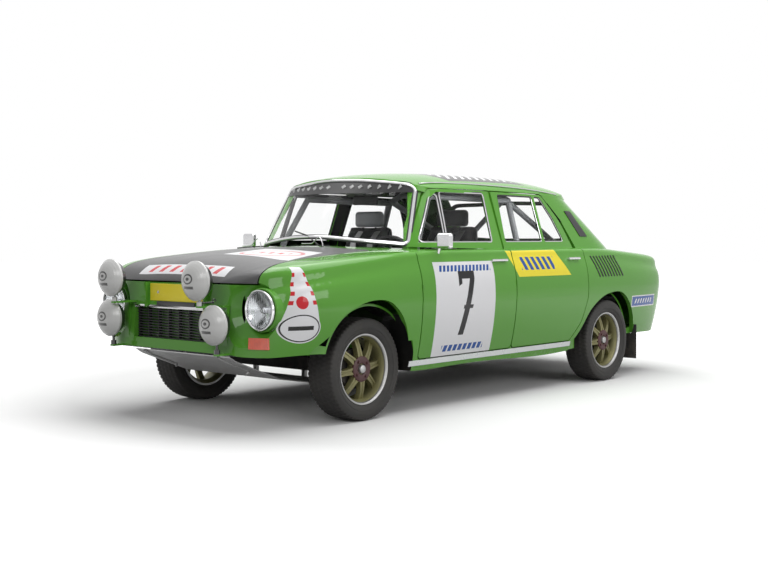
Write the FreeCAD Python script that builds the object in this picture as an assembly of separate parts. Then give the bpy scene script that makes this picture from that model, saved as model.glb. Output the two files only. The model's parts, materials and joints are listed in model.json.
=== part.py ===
"""A 1970s four-door rally saloon with its engine at the back, at full size in millimetres.

The nose points along -Y, the car's left is +X and Z is up. The origin is on the
ground, midway between the axles and on the centre plane.

Places along the car are given as one number, a place share: -1 is the nose panel,
0 the front axle, 1 the rear axle and 2 the tail panel.
"""
import FreeCAD, Part
import math
import os

# Driving dimensions of the whole car
wheelbase = 2400.0
front_overhang = 690.0
rear_overhang = 885.0
half_width = 812.0
sill_height = 237.0
swage_height = 600.0
belt_height = 905.0
gutter_height = 1275.0
roof_height = 1386.0

# Sheet and wall thicknesses of the body
lid_thickness = 20.0
body_wall = 26.0
frame_wall = 48.0
door_wall = 66.0
floor_wall = 76.0
rebate_clearance = 6.0
panel_gap = 7.0
lid_gap = 8.0
overrun = 60.0

# Wheels and tyres
tyre_radius = 277.0
tyre_width = 178.0
rim_radius = 178.0
rim_lip_radius = 190.0
rim_width = 150.0
rim_wall = 6.0
spoke_count = 8
hub_ring_radius = 69.0
hub_cap_radius = 25.0
front_wheel_plane = 636.0
rear_wheel_plane = 700.0
arch_radius = 338.0
arch_wall = 12.0

# Running fits
fit_clearance = 0.3
hinge_barrel_radius = 3.0
hinge_leaf = 34.0

half_wheelbase = wheelbase / 2
V = FreeCAD.Vector


def along(place):
    """Y of a place share."""
    if place < 0:
        return -half_wheelbase + place * front_overhang
    if place > 1:
        return half_wheelbase + (place - 1) * rear_overhang
    return -half_wheelbase + place * wheelbase


def box(x0, x1, y0, y1, z0, z1):
    """Box between two corners."""
    return Part.makeBox(x1 - x0, y1 - y0, z1 - z0, V(x0, y0, z0))


def both_sides(shape):
    """A shape of the left side and its mirror image."""
    return [shape, shape.mirror(V(0, 0, 0), V(1, 0, 0))]


def mirrored(shape):
    """The right-hand image of a left-hand shape."""
    return shape.mirror(V(0, 0, 0), V(1, 0, 0))


def fused(shapes):
    """One solid from shapes that touch or overlap."""
    shapes = list(shapes)
    if len(shapes) == 1:
        return shapes[0]
    return shapes[0].fuse(shapes[1:]).removeSplitter()


def group(shapes):
    """Separate solids in one compound."""
    return Part.makeCompound([solid for shape in shapes for solid in shape.Solids])


def tube(start, end, radius):
    """Round bar from one point to another."""
    span = end - start
    return Part.makeCylinder(radius, span.Length, start, span)


def chord_shares(points):
    """Shares of the whole chord length at which each point lies."""
    steps = [0.0]
    for before, after in zip(points, points[1:]):
        steps.append(steps[-1] + after.distanceToPoint(before))
    return [step / steps[-1] for step in steps]


def spline(points, shares=None):
    """Smooth edge through points, at given shares of its length if they are set."""
    curve = Part.BSplineCurve()
    curve.interpolate(Points=points, Parameters=shares or chord_shares(points))
    return curve.toShape()


def rounded_polygon(corners, radii):
    """Closed wire through corners, each rounded by its radius."""
    count = len(corners)
    starts = []
    ends = []
    middles = []
    for index in range(count):
        corner = corners[index]
        back = corners[index - 1] - corner
        ahead = corners[(index + 1) % count] - corner
        back_length = back.Length
        ahead_length = ahead.Length
        back.normalize()
        ahead.normalize()
        half_angle = back.getAngle(ahead) / 2
        limit = min(back_length, ahead_length) * corner_limit_share
        reach = min(radii[index] / math.tan(half_angle), limit)
        radius = reach * math.tan(half_angle)
        bisector = back + ahead
        bisector.normalize()
        centre = corner + bisector * (radius / math.sin(half_angle))
        starts.append(corner + back * reach)
        ends.append(corner + ahead * reach)
        middles.append(centre - bisector * radius)
    edges = []
    for index in range(count):
        edges.append(Part.Arc(starts[index], middles[index], ends[index]).toShape())
        edges.append(Part.LineSegment(ends[index], starts[(index + 1) % count]).toShape())
    return Part.Wire(edges)


def offset_corners(corners, distance):
    """Corners of a flat outline (u, v) moved outward by a distance."""
    area = sum(a[0] * b[1] - b[0] * a[1] for a, b in zip(corners, corners[1:] + corners[:1]))
    turn = math.copysign(1, area)
    moved = []
    for index, (u, v) in enumerate(corners):
        before = corners[index - 1]
        after = corners[(index + 1) % len(corners)]
        first = FreeCAD.Vector(u - before[0], v - before[1], 0)
        second = FreeCAD.Vector(after[0] - u, after[1] - v, 0)
        first.normalize()
        second.normalize()
        normal_first = V(first.y, -first.x, 0) * turn
        normal_second = V(second.y, -second.x, 0) * turn
        bisector = normal_first + normal_second
        scale = distance * 2 / bisector.dot(bisector)
        moved.append((u + bisector.x * scale, v + bisector.y * scale))
    return moved


def prism(corners, radii, direction, start, depth):
    """Solid of a rounded outline (u, v) pushed along X, Y or Z from a start plane."""
    if direction == "x":
        points = [V(start, u, v) for u, v in corners]
        push = V(depth, 0, 0)
    elif direction == "y":
        points = [V(u, start, v) for u, v in corners]
        push = V(0, depth, 0)
    else:
        points = [V(u, v, start) for u, v in corners]
        push = V(0, 0, depth)
    return Part.Face(rounded_polygon(points, radii)).extrude(push)


# The lower body is a loft of cross-sections. Each row holds the place share, then shares of
# the half width (waist), of the belt height (underside, shoulder, shoulder radius, crown), of
# the half width (how far the underside tucks in), and how far the section leans back.
body_section_shares = [
    (-1.0, 0.554, 0.433, 0.815, 0.049, 0.011, 0.025, 0.10),
    (-0.9855, 0.640, 0.424, 0.835, 0.055, 0.013, 0.030, 0.10),
    (-0.9565, 0.714, 0.421, 0.856, 0.062, 0.015, 0.034, 0.09),
    (-0.9203, 0.788, 0.421, 0.876, 0.066, 0.018, 0.039, 0.08),
    (-0.8696, 0.856, 0.423, 0.896, 0.071, 0.021, 0.042, 0.07),
    (-0.7971, 0.911, 0.428, 0.913, 0.075, 0.024, 0.044, 0.05),
    (-0.6957, 0.951, 0.431, 0.927, 0.077, 0.027, 0.047, 0.02),
    (-0.5797, 0.970, 0.429, 0.938, 0.077, 0.029, 0.049, 0.00),
    (-0.4058, 0.979, 0.418, 0.951, 0.075, 0.030, 0.052, 0.00),
    (-0.0725, 0.986, 0.354, 0.971, 0.069, 0.031, 0.057, 0.00),
    (0.0917, 0.991, 0.278, 0.990, 0.053, 0.031, 0.067, 0.00),
    (0.2083, 0.995, 0.263, 0.999, 0.040, 0.029, 0.076, 0.00),
    (0.5312, 1.000, 0.261, 1.001, 0.035, 0.022, 0.081, 0.00),
    (0.8333, 0.999, 0.265, 1.001, 0.038, 0.022, 0.076, 0.00),
    (1.0, 0.995, 0.298, 0.997, 0.051, 0.022, 0.064, 0.00),
    (1.452, 0.983, 0.331, 0.968, 0.062, 0.020, 0.057, 0.00),
    (1.7345, 0.963, 0.327, 0.947, 0.066, 0.019, 0.054, 0.06),
    (1.8475, 0.946, 0.328, 0.936, 0.069, 0.018, 0.052, 0.10),
    (1.9322, 0.909, 0.335, 0.919, 0.066, 0.015, 0.047, 0.13),
    (1.9774, 0.862, 0.348, 0.893, 0.062, 0.013, 0.039, 0.15),
    (2.0, 0.807, 0.369, 0.860, 0.053, 0.011, 0.032, 0.15),
]
lean_height = belt_height * 0.70
tumble_share = 0.05
corner_limit_share = 0.48
least_corner = belt_height * 0.012
swage_rise_share = 0.12
underside_bow_share = 0.32
flank_shares = [(0.0, 0.0), (0.05, 0.38), (0.48, 0.75), (1.0, 1.0)]
shoulder_angles = (30.0, 60.0)
crown_point_shares = (1.0, 0.75, 0.45)


def body_section(row, inset, shares):
    """Closed section wire of the lower body, moved in by the inset, or the points over its top."""
    place, waist, under, shoulder, radius, crown, tuck, lean = row
    side = half_width * waist - inset
    low = belt_height * under + inset
    top = belt_height * shoulder - inset
    corner = max(belt_height * radius - inset / 2, least_corner)
    rise = belt_height * crown
    tucked = half_width * tuck
    tumble = half_width * tumble_share
    level = min(swage_height, (low + top) / 2 + (top - low) * swage_rise_share)

    def point(x, z):
        return V(x, along(place) - lean * (lean_height - z), z)

    shoulder_start = top - corner
    right_half = [(side - tumble * a, level + (shoulder_start - level) * b) for a, b in flank_shares]
    for angle in shoulder_angles:
        across = side - tumble - corner * (1 - math.cos(math.radians(angle)))
        right_half.append((across, shoulder_start + corner * math.sin(math.radians(angle))))
    flat = side - tumble - corner
    for share in crown_point_shares:
        right_half.append((flat * share, top + rise * (1 - share ** 2)))
    upper = right_half + [(0, top + rise)] + [(-x, z) for x, z in reversed(right_half)]
    upper = [point(x, z) for x, z in upper]
    if shares is None:
        return upper
    middle = (level + low) / 2
    bowed = side - tucked * underside_bow_share
    lower_left = Part.Arc(point(side - tucked, low), point(bowed, middle), point(side, level))
    lower_right = Part.Arc(point(-side, level), point(-bowed, middle), point(tucked - side, low))
    underside = Part.LineSegment(point(tucked - side, low), point(side - tucked, low))
    edges = [lower_left.toShape(), spline(upper, shares)]
    edges += [lower_right.toShape(), underside.toShape()]
    return Part.Wire(edges)


def lower_body(inset):
    """Lower body, moved in by the inset."""
    middle = body_section_shares[len(body_section_shares) // 2]
    shares = chord_shares(body_section(middle, 0, None))
    return Part.makeLoft([body_section(row, inset, shares) for row in body_section_shares], True)


# The cabin above the belt: two plan outlines, at the belt and at the gutter. Each row holds
# the across share of the half width and the place share, from the windscreen's middle
# round to the rear window's middle.
belt_outline_shares = [
    (0.0, 0.101), (0.345, 0.127), (0.62, 0.176), (0.775, 0.212), (0.848, 0.242),
    (0.872, 0.320), (0.881, 0.531), (0.872, 0.780), (0.852, 0.910),
    (0.800, 1.006), (0.739, 1.096), (0.616, 1.181), (0.369, 1.237), (0.0, 1.260),
]
gutter_outline_shares = [
    (0.0, 0.218), (0.300, 0.228), (0.500, 0.249), (0.640, 0.274), (0.702, 0.306),
    (0.728, 0.380), (0.739, 0.531), (0.735, 0.700), (0.728, 0.805),
    (0.712, 0.868), (0.665, 0.912), (0.560, 0.936), (0.300, 0.949), (0.0, 0.953),
]
side_slope = half_width * (0.881 - 0.739) / (gutter_height - belt_height)


side_glass_share = 0.881


def side_plane(z):
    """Half width of the cabin's side glass at a height."""
    return half_width * side_glass_share - side_slope * (z - belt_height)


def cabin_points(z):
    """Points of the cabin's closed plan outline at a height."""
    share = (z - belt_height) / (gutter_height - belt_height)
    half = []
    for (x0, p0), (x1, p1) in zip(belt_outline_shares, gutter_outline_shares):
        y0 = along(p0)
        y1 = along(p1)
        half.append(V(half_width * (x0 + (x1 - x0) * share), y0 + (y1 - y0) * share, z))
    return half + [V(-q.x, q.y, q.z) for q in reversed(half[1:-1])]


def cabin_outline(z, inset):
    """Closed plan outline of the cabin at a height, moved in by the inset."""
    points = cabin_points(z)
    guide = cabin_points((belt_height + gutter_height) / 2)
    moved = []
    steps = [0.0]
    for index, point in enumerate(points):
        after = (index + 1) % len(points)
        tangent = points[after] - points[index - 1]
        tangent.normalize()
        moved.append(point - V(tangent.y, -tangent.x, 0) * inset)
        steps.append(steps[-1] + guide[after].distanceToPoint(guide[index]))
    curve = Part.BSplineCurve()
    shares = [step / steps[-1] for step in steps]
    curve.interpolate(Points=moved, Parameters=shares, PeriodicFlag=True)
    rear_middle = shares[len(belt_outline_shares) - 1]
    return Part.Wire([curve.toShape(0, rear_middle), curve.toShape(rear_middle, shares[-1])])


# Height of the roof's middle at places along the car, and how far it falls off to the sides
roof_line_shares = [
    (0.060, 0.800), (0.130, 0.880), (0.200, 0.942), (0.235, 0.963), (0.275, 0.9755), (0.335, 0.9875),
    (0.46, 0.998), (0.60, 1.0), (0.75, 0.996), (0.855, 0.985), (0.917, 0.970), (0.958, 0.952), (1.03, 0.920),
    (1.16, 0.870), (1.32, 0.810),
]
roof_fall_shares = [(0.0, 0.0), (0.30, 0.05), (0.55, 0.19), (0.76, 0.43), (0.88, 0.64), (0.97, 0.92),
                    (1.03, 1.42), (1.08, 2.1)]
crown_foot_share = 0.98
roof_half_width = half_width * 0.739
roof_fall = roof_height - gutter_height
cabin_floor_level = belt_height * 0.86


def roof_crown(inset):
    """Solid below the roof's curved skin."""
    sections = []
    for place, height in roof_line_shares:
        y = along(place)
        top = roof_height * height - inset
        half = [V(roof_half_width * a, y, top - roof_fall * b) for a, b in roof_fall_shares]
        points = [V(-q.x, q.y, q.z) for q in reversed(half[1:])] + half
        skin = spline(points)
        left = V(half_width * crown_foot_share, y, cabin_floor_level)
        right = V(-left.x, y, cabin_floor_level)
        edges = [skin, Part.LineSegment(points[-1], left).toShape()]
        edges += [Part.LineSegment(left, right).toShape(), Part.LineSegment(right, points[0]).toShape()]
        sections.append(Part.Wire(edges))
    return Part.makeLoft(sections, True)


def cabin_walls(inset):
    """Cabin's leaning walls as a solid open to the sky, moved in by the inset."""
    foot = cabin_outline(cabin_floor_level, inset)
    head = cabin_outline(roof_height + overrun, inset)
    return Part.makeLoft([foot, head], True, True)


def waist_at(place):
    """Half width of the body's waist at a place share."""
    for before, after in zip(body_section_shares, body_section_shares[1:]):
        if place <= after[0]:
            share = (place - before[0]) / (after[0] - before[0])
            return half_width * (before[1] + (after[1] - before[1]) * share)
    return half_width * body_section_shares[-1][1]


# Outline of each door at the middle of its gap. Each row holds the place share, the height share
# of the belt, the corner radius share of the belt, the half width share of the skin there, and
# how much the edge closes in towards the cabin, which lets it swing out past its neighbour.
front_gap_share = 376 / 2400
middle_gap_share = 0.5312
rear_gap_share = 0.879
front_door_shares = [
    (front_gap_share, 0.335, 0.028, 0.94, 0.0), (front_gap_share, 0.988, 0.012, 0.93, 0.0),
    (0.205, 1.020, 0.020, 0.85, 0.0), (0.280, 1.345, 0.066, 0.76, 0.0), (0.296, 1.397, 0.033, 0.745, 0.0),
    (middle_gap_share, 1.397, 0.012, 0.745, 0.20), (middle_gap_share, 1.0, 0.0012, 1.0, 0.05),
    (middle_gap_share, 0.335, 0.028, 1.0, 0.05),
]
rear_door_shares = [
    (middle_gap_share, 0.335, 0.028, 0.94, 0.0), (middle_gap_share, 1.397, 0.012, 0.745, 0.0),
    (0.770, 1.391, 0.055, 0.745, 0.42), (0.835, 1.209, 0.35, 0.81, 0.27), (0.877, 0.996, 0.045, 0.905, 0.20),
    (rear_gap_share, 0.829, 0.02, 0.985, 0.17), (rear_gap_share, 0.646, 0.14, 0.997, 0.17),
    (0.855, 0.466, 0.08, 0.97, 0.18), (0.808, 0.335, 0.028, 0.94, 0.20),
]
# How far the inner part of a door stands back from its outer edge, and where it ends at the top
door_flange = 36.0
door_inner_share = 0.975
door_ledge_share = 0.85

# Side windows as place and height shares: the fixed quarter lights and the main panes
window_radius = 16.0
front_quarter_shares = [(0.228, 1.050), (0.292, 1.335), (0.317, 1.376), (0.301, 1.050)]
front_pane_shares = [(0.3105, 1.050), (0.3265, 1.376), (0.5015, 1.376), (0.492, 1.050)]
rear_pane_shares = [(0.5455, 1.050), (0.5590, 1.376), (0.7225, 1.374), (0.7215, 1.050)]
rear_quarter_shares = [(0.7310, 1.050), (0.7320, 1.374), (0.7600, 1.370), (0.8030, 1.215), (0.8330, 1.050)]

# Windscreen and rear window, half of each from the middle of the bottom edge to the middle of
# the top edge: across shares of the half width, height and radius shares of the belt, and the
# place of the glass there
screen_shares = [(0.0, 1.086, 1.6, 0.127), (0.36, 1.074, 1.2, 0.142), (0.727, 1.046, 0.046, 0.205),
                 (0.636, 1.398, 0.05, 0.283), (0.34, 1.446, 1.0, 0.243), (0.0, 1.462, 1.6, 0.235)]
rear_screen_shares = [(0.0, 1.066, 1.6, 1.209), (0.36, 1.064, 1.2, 1.19), (0.690, 1.060, 0.07, 1.08),
                      (0.596, 1.335, 0.08, 0.955), (0.33, 1.376, 1.0, 0.985), (0.0, 1.388, 1.6, 0.99)]
screen_plug_slope = 0.7
glass_depth = 8.0
glass_thickness = 5.0


def side_corners(rows):
    """Outline (y, z) of place and height shares."""
    return [(along(row[0]), belt_height * row[1]) for row in rows]


def door_plug(rows, offset, inner):
    """Solid that cuts one door's outline out of the left side, larger or smaller by an offset."""
    corners = offset_corners(side_corners(rows), offset)
    planes = []
    root = half_width * (door_ledge_share if inner else 0.5)
    for x in (half_width + overrun * 2, root):
        points = []
        for (y, z), (place, height, radius, skin, taper) in zip(corners, rows):
            shift = taper * (x - half_width * skin)
            points.append(V(x, y + shift, z))
        radii = [max(belt_height * row[2] + (offset if offset > 0 else 0), fit_clearance) for row in rows]
        planes.append(rounded_polygon(points, radii))
    plug = Part.makeLoft(planes, True, True)
    keep_depth = frame_wall + panel_gap
    low = cabin_floor_level
    if inner:
        inner_top = belt_height * door_inner_share
        return plug.cut(box(0, half_width * 2, -wheelbase, wheelbase, inner_top, roof_height * 2))
    wedge_corners = [(0, low), (side_plane(low) - keep_depth, low),
                     (side_plane(roof_height) - keep_depth, roof_height), (0, roof_height)]
    wedge = prism(wedge_corners, [fit_clearance] * 4, "y", -wheelbase, wheelbase * 2)
    return plug.cut(wedge)


def window_plug(rows):
    """Solid of one side window's opening on the left side."""
    corners = side_corners(rows)
    radii = [window_radius] * len(corners)
    return prism(corners, radii, "x", half_width / 2, half_width)


def screen_plug(rows, front):
    """Solid of the windscreen's or rear window's opening, pushed in and down through the glass."""
    start = along(-1) if front else along(2)
    ahead = 1 if front else -1
    loop = rows + [(-x, z, radius, place) for x, z, radius, place in reversed(rows[1:-1])]
    points = []
    for x, z, radius, place in loop:
        rise = screen_plug_slope * abs(along(place) - start)
        points.append(V(half_width * x, start, belt_height * z + rise))
    face = Part.Face(rounded_polygon(points, [belt_height * row[2] for row in loop]))
    reach = half_wheelbase * (1 + screen_reach_share)
    return face.extrude(V(0, ahead * reach, -screen_plug_slope * reach))


screen_reach_share = 0.15


# Wheel arches as the lip's outline around the wheel, in shares of the tyre radius (y, z)
front_arch_shares = [
    (-1.70, 1.34), (-1.581, 1.473), (-1.372, 1.621), (-1.188, 1.755), (-0.975, 2.018), (-0.729, 2.170),
    (-0.451, 2.271), (-0.170, 2.332), (0.090, 2.343), (0.350, 2.303), (0.560, 2.188), (0.773, 1.982),
    (0.924, 1.718), (1.005, 1.419), (0.995, 1.123), (0.945, 0.85),
]
rear_arch_shares = [
    (-1.62, 1.03), (-1.415, 1.152), (-1.148, 1.448), (-0.924, 1.747), (-0.603, 1.975), (-0.227, 2.130),
    (0.159, 2.191), (0.552, 2.177), (0.856, 2.040), (1.116, 1.800), (1.328, 1.487), (1.437, 1.224),
    (1.50, 1.02),
]


def arch_cut(rows, place):
    """Solid that cuts the arch's lip through the left side's skin."""
    points = [V(0, along(place) + tyre_radius * y, tyre_radius * z) for y, z in rows]
    front_foot = V(0, points[0].y, 0)
    rear_foot = V(0, points[-1].y, 0)
    edges = [spline(points), Part.LineSegment(points[-1], rear_foot).toShape()]
    edges.append(Part.LineSegment(rear_foot, front_foot).toShape())
    edges.append(Part.LineSegment(front_foot, points[0]).toShape())
    face = Part.Face(Part.Wire(edges))
    start = half_width * arch_skin_share
    return face.translated(V(start, 0, 0)).extrude(V(half_width, 0, 0))


arch_skin_share = 0.90
well_inner_x = half_width * 0.48
well_outer_x = half_width - body_wall


def wheel_well(place, extra):
    """Space around one wheel on the left side."""
    base = V(well_inner_x - extra, along(place), tyre_radius)
    return Part.makeCylinder(arch_radius + extra, well_outer_x - well_inner_x + extra, base, V(1, 0, 0))


# Places of the body's inner walls and of the joints between its panels
nose_wall_share = -0.925
nose_split_share = -0.81
boot_front_share = -0.78
boot_rear_share = 0.120
firewall_share = 0.137
boot_floor_share = 0.455
rear_wall_share = 0.937
engine_front_share = 0.958
engine_rear_share = 1.905
shelf_level_share = 0.985
rear_split_share = 0.808
floor_level = sill_height + floor_wall


def everywhere(low, high):
    """Slab of the whole car between two places."""
    return box(-half_width * 2, half_width * 2, along(low), along(high), 0, roof_height * 2)


def hollow_spaces(lower_lid, lower_door):
    """Cabin, front boot and engine bay as solids to cut away."""
    well_shells = []
    for place in (0, 1):
        well_shells += both_sides(wheel_well(place, arch_wall))
    wide = half_width * 2
    tall = roof_height * 2
    shelf = belt_height * shelf_level_share
    cabin_box = box(-wide, wide, along(firewall_share), along(rear_wall_share), floor_level, tall)
    cabin = lower_door.common(cabin_box)
    half = [(half_width * x, along(place)) for x, place in cabin_well_shares]
    outline = half + [(-x, y) for x, y in reversed(half)]
    radii = [belt_height * cabin_well_radius_share] * len(outline)
    cabin_top = prism(outline, radii, "z", swage_height, roof_height)
    boot_floor = belt_height * boot_floor_share
    boot_rear = along(boot_rear_share)
    narrow = half_width * boot_narrow_share
    boot_middle = box(-narrow, narrow, along(nose_wall_share), boot_rear, boot_floor, tall)
    boot_wide = box(-wide, wide, along(boot_front_share), boot_rear, boot_floor, tall)
    boot = lower_lid.common(boot_middle.fuse(boot_wide))
    shelf_under = shelf - body_wall
    engine_low = box(-wide, wide, along(engine_front_share), along(engine_rear_share), 0, shelf_under)
    engine_high = box(-wide, wide, along(engine_lid_front_share), along(engine_rear_share), 0, tall)
    engine = lower_lid.common(engine_low.fuse(engine_high))
    well_span = well_inner_x - arch_wall
    under_end = along(engine_under_end_share)
    under = box(-well_span, well_span, along(engine_front_share), under_end, 0, belt_height / 2)
    half_slot = axle_slot / 2
    slot_span = well_inner_x + arch_wall
    slot_top = tyre_radius + half_slot
    slot = box(-slot_span, slot_span, along(1) - half_slot, along(1) + half_slot, 0, slot_top)
    return [space.cut(well_shells) for space in (cabin, boot, engine)] + [cabin_top, under, slot]


axle_slot = 80.0


# Opening in the top of the lower body under the cabin, right half from the front
cabin_well_shares = [(0.40, 0.150), (0.70, 0.232), (0.84, 0.33), (0.84, 0.80), (0.76, 0.937)]
cabin_well_radius_share = 0.05


# Lids seen from above, as across and place shares
front_lid_half_share = 0.700
front_lid_low_share = 0.822
front_lid_rear_share = 0.100
engine_lid_front_share = 1.31
engine_lid_half_share = 0.640
engine_lid_low_share = 0.850
lid_corner_radius = 60.0


lid_front_overrun_share = -1.3
lid_rear_overrun_share = 2.3
boot_narrow_share = 0.58
engine_under_end_share = 1.86


def lid_plug(front, offset):
    """Solid that cuts a lid out of the body's top, larger by an offset."""
    if front:
        half = half_width * front_lid_half_share
        start = along(lid_front_overrun_share)
        end = along(front_lid_rear_share)
        low = belt_height * front_lid_low_share
        radii = [fit_clearance, fit_clearance, lid_corner_radius, lid_corner_radius]
    else:
        half = half_width * engine_lid_half_share
        start = along(engine_lid_front_share)
        end = along(lid_rear_overrun_share)
        low = belt_height * engine_lid_low_share
        radii = [lid_corner_radius, lid_corner_radius, fit_clearance, fit_clearance]
    corners = [(-half, start), (half, start), (half, end), (-half, end)]
    grown = offset_corners(corners, offset)
    return prism(grown, radii, "z", low - offset, roof_height)


def deck_height(place, x):
    """Height of the lower body's top skin at a place and a distance from the middle."""
    for before, after in zip(body_section_shares, body_section_shares[1:]):
        if place <= after[0]:
            share = (place - before[0]) / (after[0] - before[0])
            row = [b + (a - b) * share for b, a in zip(before, after)]
            _, waist, _, shoulder, radius, crown, _, _ = row
            flat = half_width * (waist - tumble_share) - belt_height * radius
            return belt_height * (shoulder + crown * (1 - (x / flat) ** 2))
    return 0.0


# Hinges: stacked barrels on the axis, with a leaf into the pillar and one into the panel
hinge_height = 16.0
hinge_plate = 3.0
hinge_spread = 56.0
door_hinge_level = 645.0


hinge_proud_share = 1.0015


def door_hinge_x(place):
    """Distance of a door's hinge axis from the middle, just at the widest skin."""
    return half_width * hinge_proud_share - (half_width - waist_at(place))


def door_hinges(place, body_side):
    """Barrels and leaves of a left door's two hinges, on the pillar or on the door."""
    x = door_hinge_x(place)
    y = along(place)
    shapes = []
    for low in (door_hinge_level - hinge_spread, door_hinge_level + hinge_spread - hinge_height):
        if body_side:
            leaf = box(x - hinge_leaf, x, y - hinge_plate / 2, y + hinge_plate / 2, low, low + hinge_height)
        else:
            low = low + hinge_height + fit_clearance
            leaf = box(x - hinge_leaf / 2, x, y, y + panel_gap * 2, low, low + hinge_height)
        shapes += [leaf, Part.makeCylinder(hinge_barrel_radius, hinge_height, V(x, y, low))]
    return shapes


lid_hinge_share = 0.20


def lid_hinges(place, body_side, lid_ahead):
    """Barrels and leaves of a lid's two hinges, on the body or on the lid."""
    y = along(place)
    z = deck_height(place, 0)
    ahead = -1 if lid_ahead else 1
    shapes = []
    for sign in (-1, 1):
        middle = sign * half_width * lid_hinge_share
        height = deck_height(place, middle)
        if body_side:
            low = middle - hinge_height - fit_clearance / 2
            far = y - ahead * panel_gap * 2
        else:
            low = middle + fit_clearance / 2
            far = y + ahead * panel_gap * 2
        leaf = box(low, low + hinge_height, min(y, far), max(y, far), height - lid_thickness, z)
        barrel = Part.makeCylinder(hinge_barrel_radius, hinge_height, V(low, y, z), V(1, 0, 0))
        shapes += [leaf, barrel]
    return shapes


class Shells:
    """The body's outer skin and its inner skins, made once."""

    def __init__(self):
        self.lower = lower_body(0)
        self.lower_flange = lower_body(lid_thickness)
        self.lower_rebate = lower_body(body_wall)
        self.lower_door = lower_body(door_wall)
        start = along(boot_rear_share)
        inside = box(-half_width, half_width, start, along(rear_wall_share), floor_level, roof_height)
        self.lower_door_shell = self.lower.cut(inside)
        self.walls = cabin_walls(0)
        self.walls_flange = cabin_walls(lid_thickness)
        self.walls_rebate = cabin_walls(body_wall)
        self.walls_frame = cabin_walls(frame_wall)
        self.glass = cabin_walls(glass_depth).cut(cabin_walls(glass_depth + glass_thickness))


def door_openings(rebate):
    """Solids that cut the four door openings, with their rebates, out of the body."""
    cuts = []
    outer_gap = panel_gap / 2
    inner_gap = panel_gap / 2 - door_flange + rebate_clearance
    for rows in (front_door_shares, rear_door_shares):
        outer = door_plug(rows, outer_gap, False).cut(rebate)
        cuts += both_sides(outer) + both_sides(door_plug(rows, inner_gap, False))
    return cuts


def cut_all(shape, tools):
    """A shape less each of the tools in turn."""
    for tool in tools:
        shape = shape.cut(tool)
    return shape


# Nose: the grille's opening, the lamp buckets and their scoops
grille_half_share = 0.420
grille_low = 441.0
grille_high = 606.0
grille_depth = 34.0
headlamp_x = 595.0
headlamp_z = 617.0
headlamp_front_share = -0.927
headlamp_radius = 104.0
headlamp_depth = 60.0
lamp_pod_wall = 8.0
lamp_pod_rounding = 6.4
lamp_pod_length = front_overhang * 0.42
lamp_scoop_radius = 168.0
lamp_scoop_depth = 60.0


def lamp_pods(shells):
    """Rounded pods that carry the headlamps."""
    y = along(headlamp_front_share)
    radius = headlamp_radius + lamp_pod_wall
    pod = Part.makeCylinder(radius, lamp_pod_length, V(headlamp_x, y, headlamp_z), V(0, 1, 0))
    front_edge = [edge for edge in pod.Edges if edge.BoundBox.YMax < y + fit_clearance]
    pod = pod.makeFillet(lamp_pod_rounding, front_edge)
    return both_sides(pod)


def nose_cuts():
    """Solids that cut the scoops beside the lamps, and those that cut what sits in the nose."""
    y = along(headlamp_front_share)
    axis = V(0, 1, 0)
    reach = overrun * 2
    spread = (lamp_scoop_radius - headlamp_radius) / lamp_scoop_depth
    scoop = Part.makeCone(headlamp_radius + lamp_pod_wall + spread * (reach + lamp_scoop_depth / 2),
                          headlamp_radius + lamp_pod_wall, reach + lamp_scoop_depth / 2,
                          V(headlamp_x, y - reach, headlamp_z), axis)
    start = V(headlamp_x, y - reach, headlamp_z)
    bucket = Part.makeCylinder(headlamp_radius, headlamp_depth + reach, start, axis)
    half = half_width * grille_half_share
    grille_start = along(lid_front_overrun_share)
    grille = box(-half, half, grille_start, along(-1) + grille_depth, grille_low, grille_high)
    return both_sides(scoop), both_sides(bucket) + [grille]


def roof_shell(shells):
    """Roof panel with the pillars and the frames of the screens and doors."""
    crown = roof_crown(0)
    screens = [screen_plug(screen_shares, True), screen_plug(rear_screen_shares, False)]
    cuts = screens + door_openings(shells.walls_rebate)
    ring = cut_all(shells.walls.cut(shells.walls_frame), cuts).common(crown).cut(shells.lower)
    panel = cut_all(crown.cut(roof_crown(body_wall)).common(shells.walls), cuts)
    return fused([ring, panel])


sill_top_share = 0.3655
scuttle_low_share = 0.92
scuttle_end_share = 0.33
pillars_end_share = 0.79


def cabin_zones():
    """Boxes that part the cabin's stretch of the body."""
    start = along(middle_of_front_pillar_share)
    scuttle_end = along(scuttle_end_share)
    pillars_end = along(pillars_end_share)
    end = along(rear_split_share)
    low = belt_height * scuttle_low_share
    sill_top = belt_height * sill_top_share
    wide = half_width * 2
    floor = box(-wide, wide, start, end, 0, sill_top)
    scuttle = box(-wide, wide, start, scuttle_end, low, roof_height)
    front_pillars = box(-wide, wide, start, scuttle_end, sill_top, low)
    middle_pillars = box(-wide, wide, scuttle_end, pillars_end, sill_top, roof_height)
    corners = box(-wide, wide, pillars_end, end, sill_top, roof_height)
    return floor, scuttle, front_pillars, middle_pillars, corners


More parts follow.
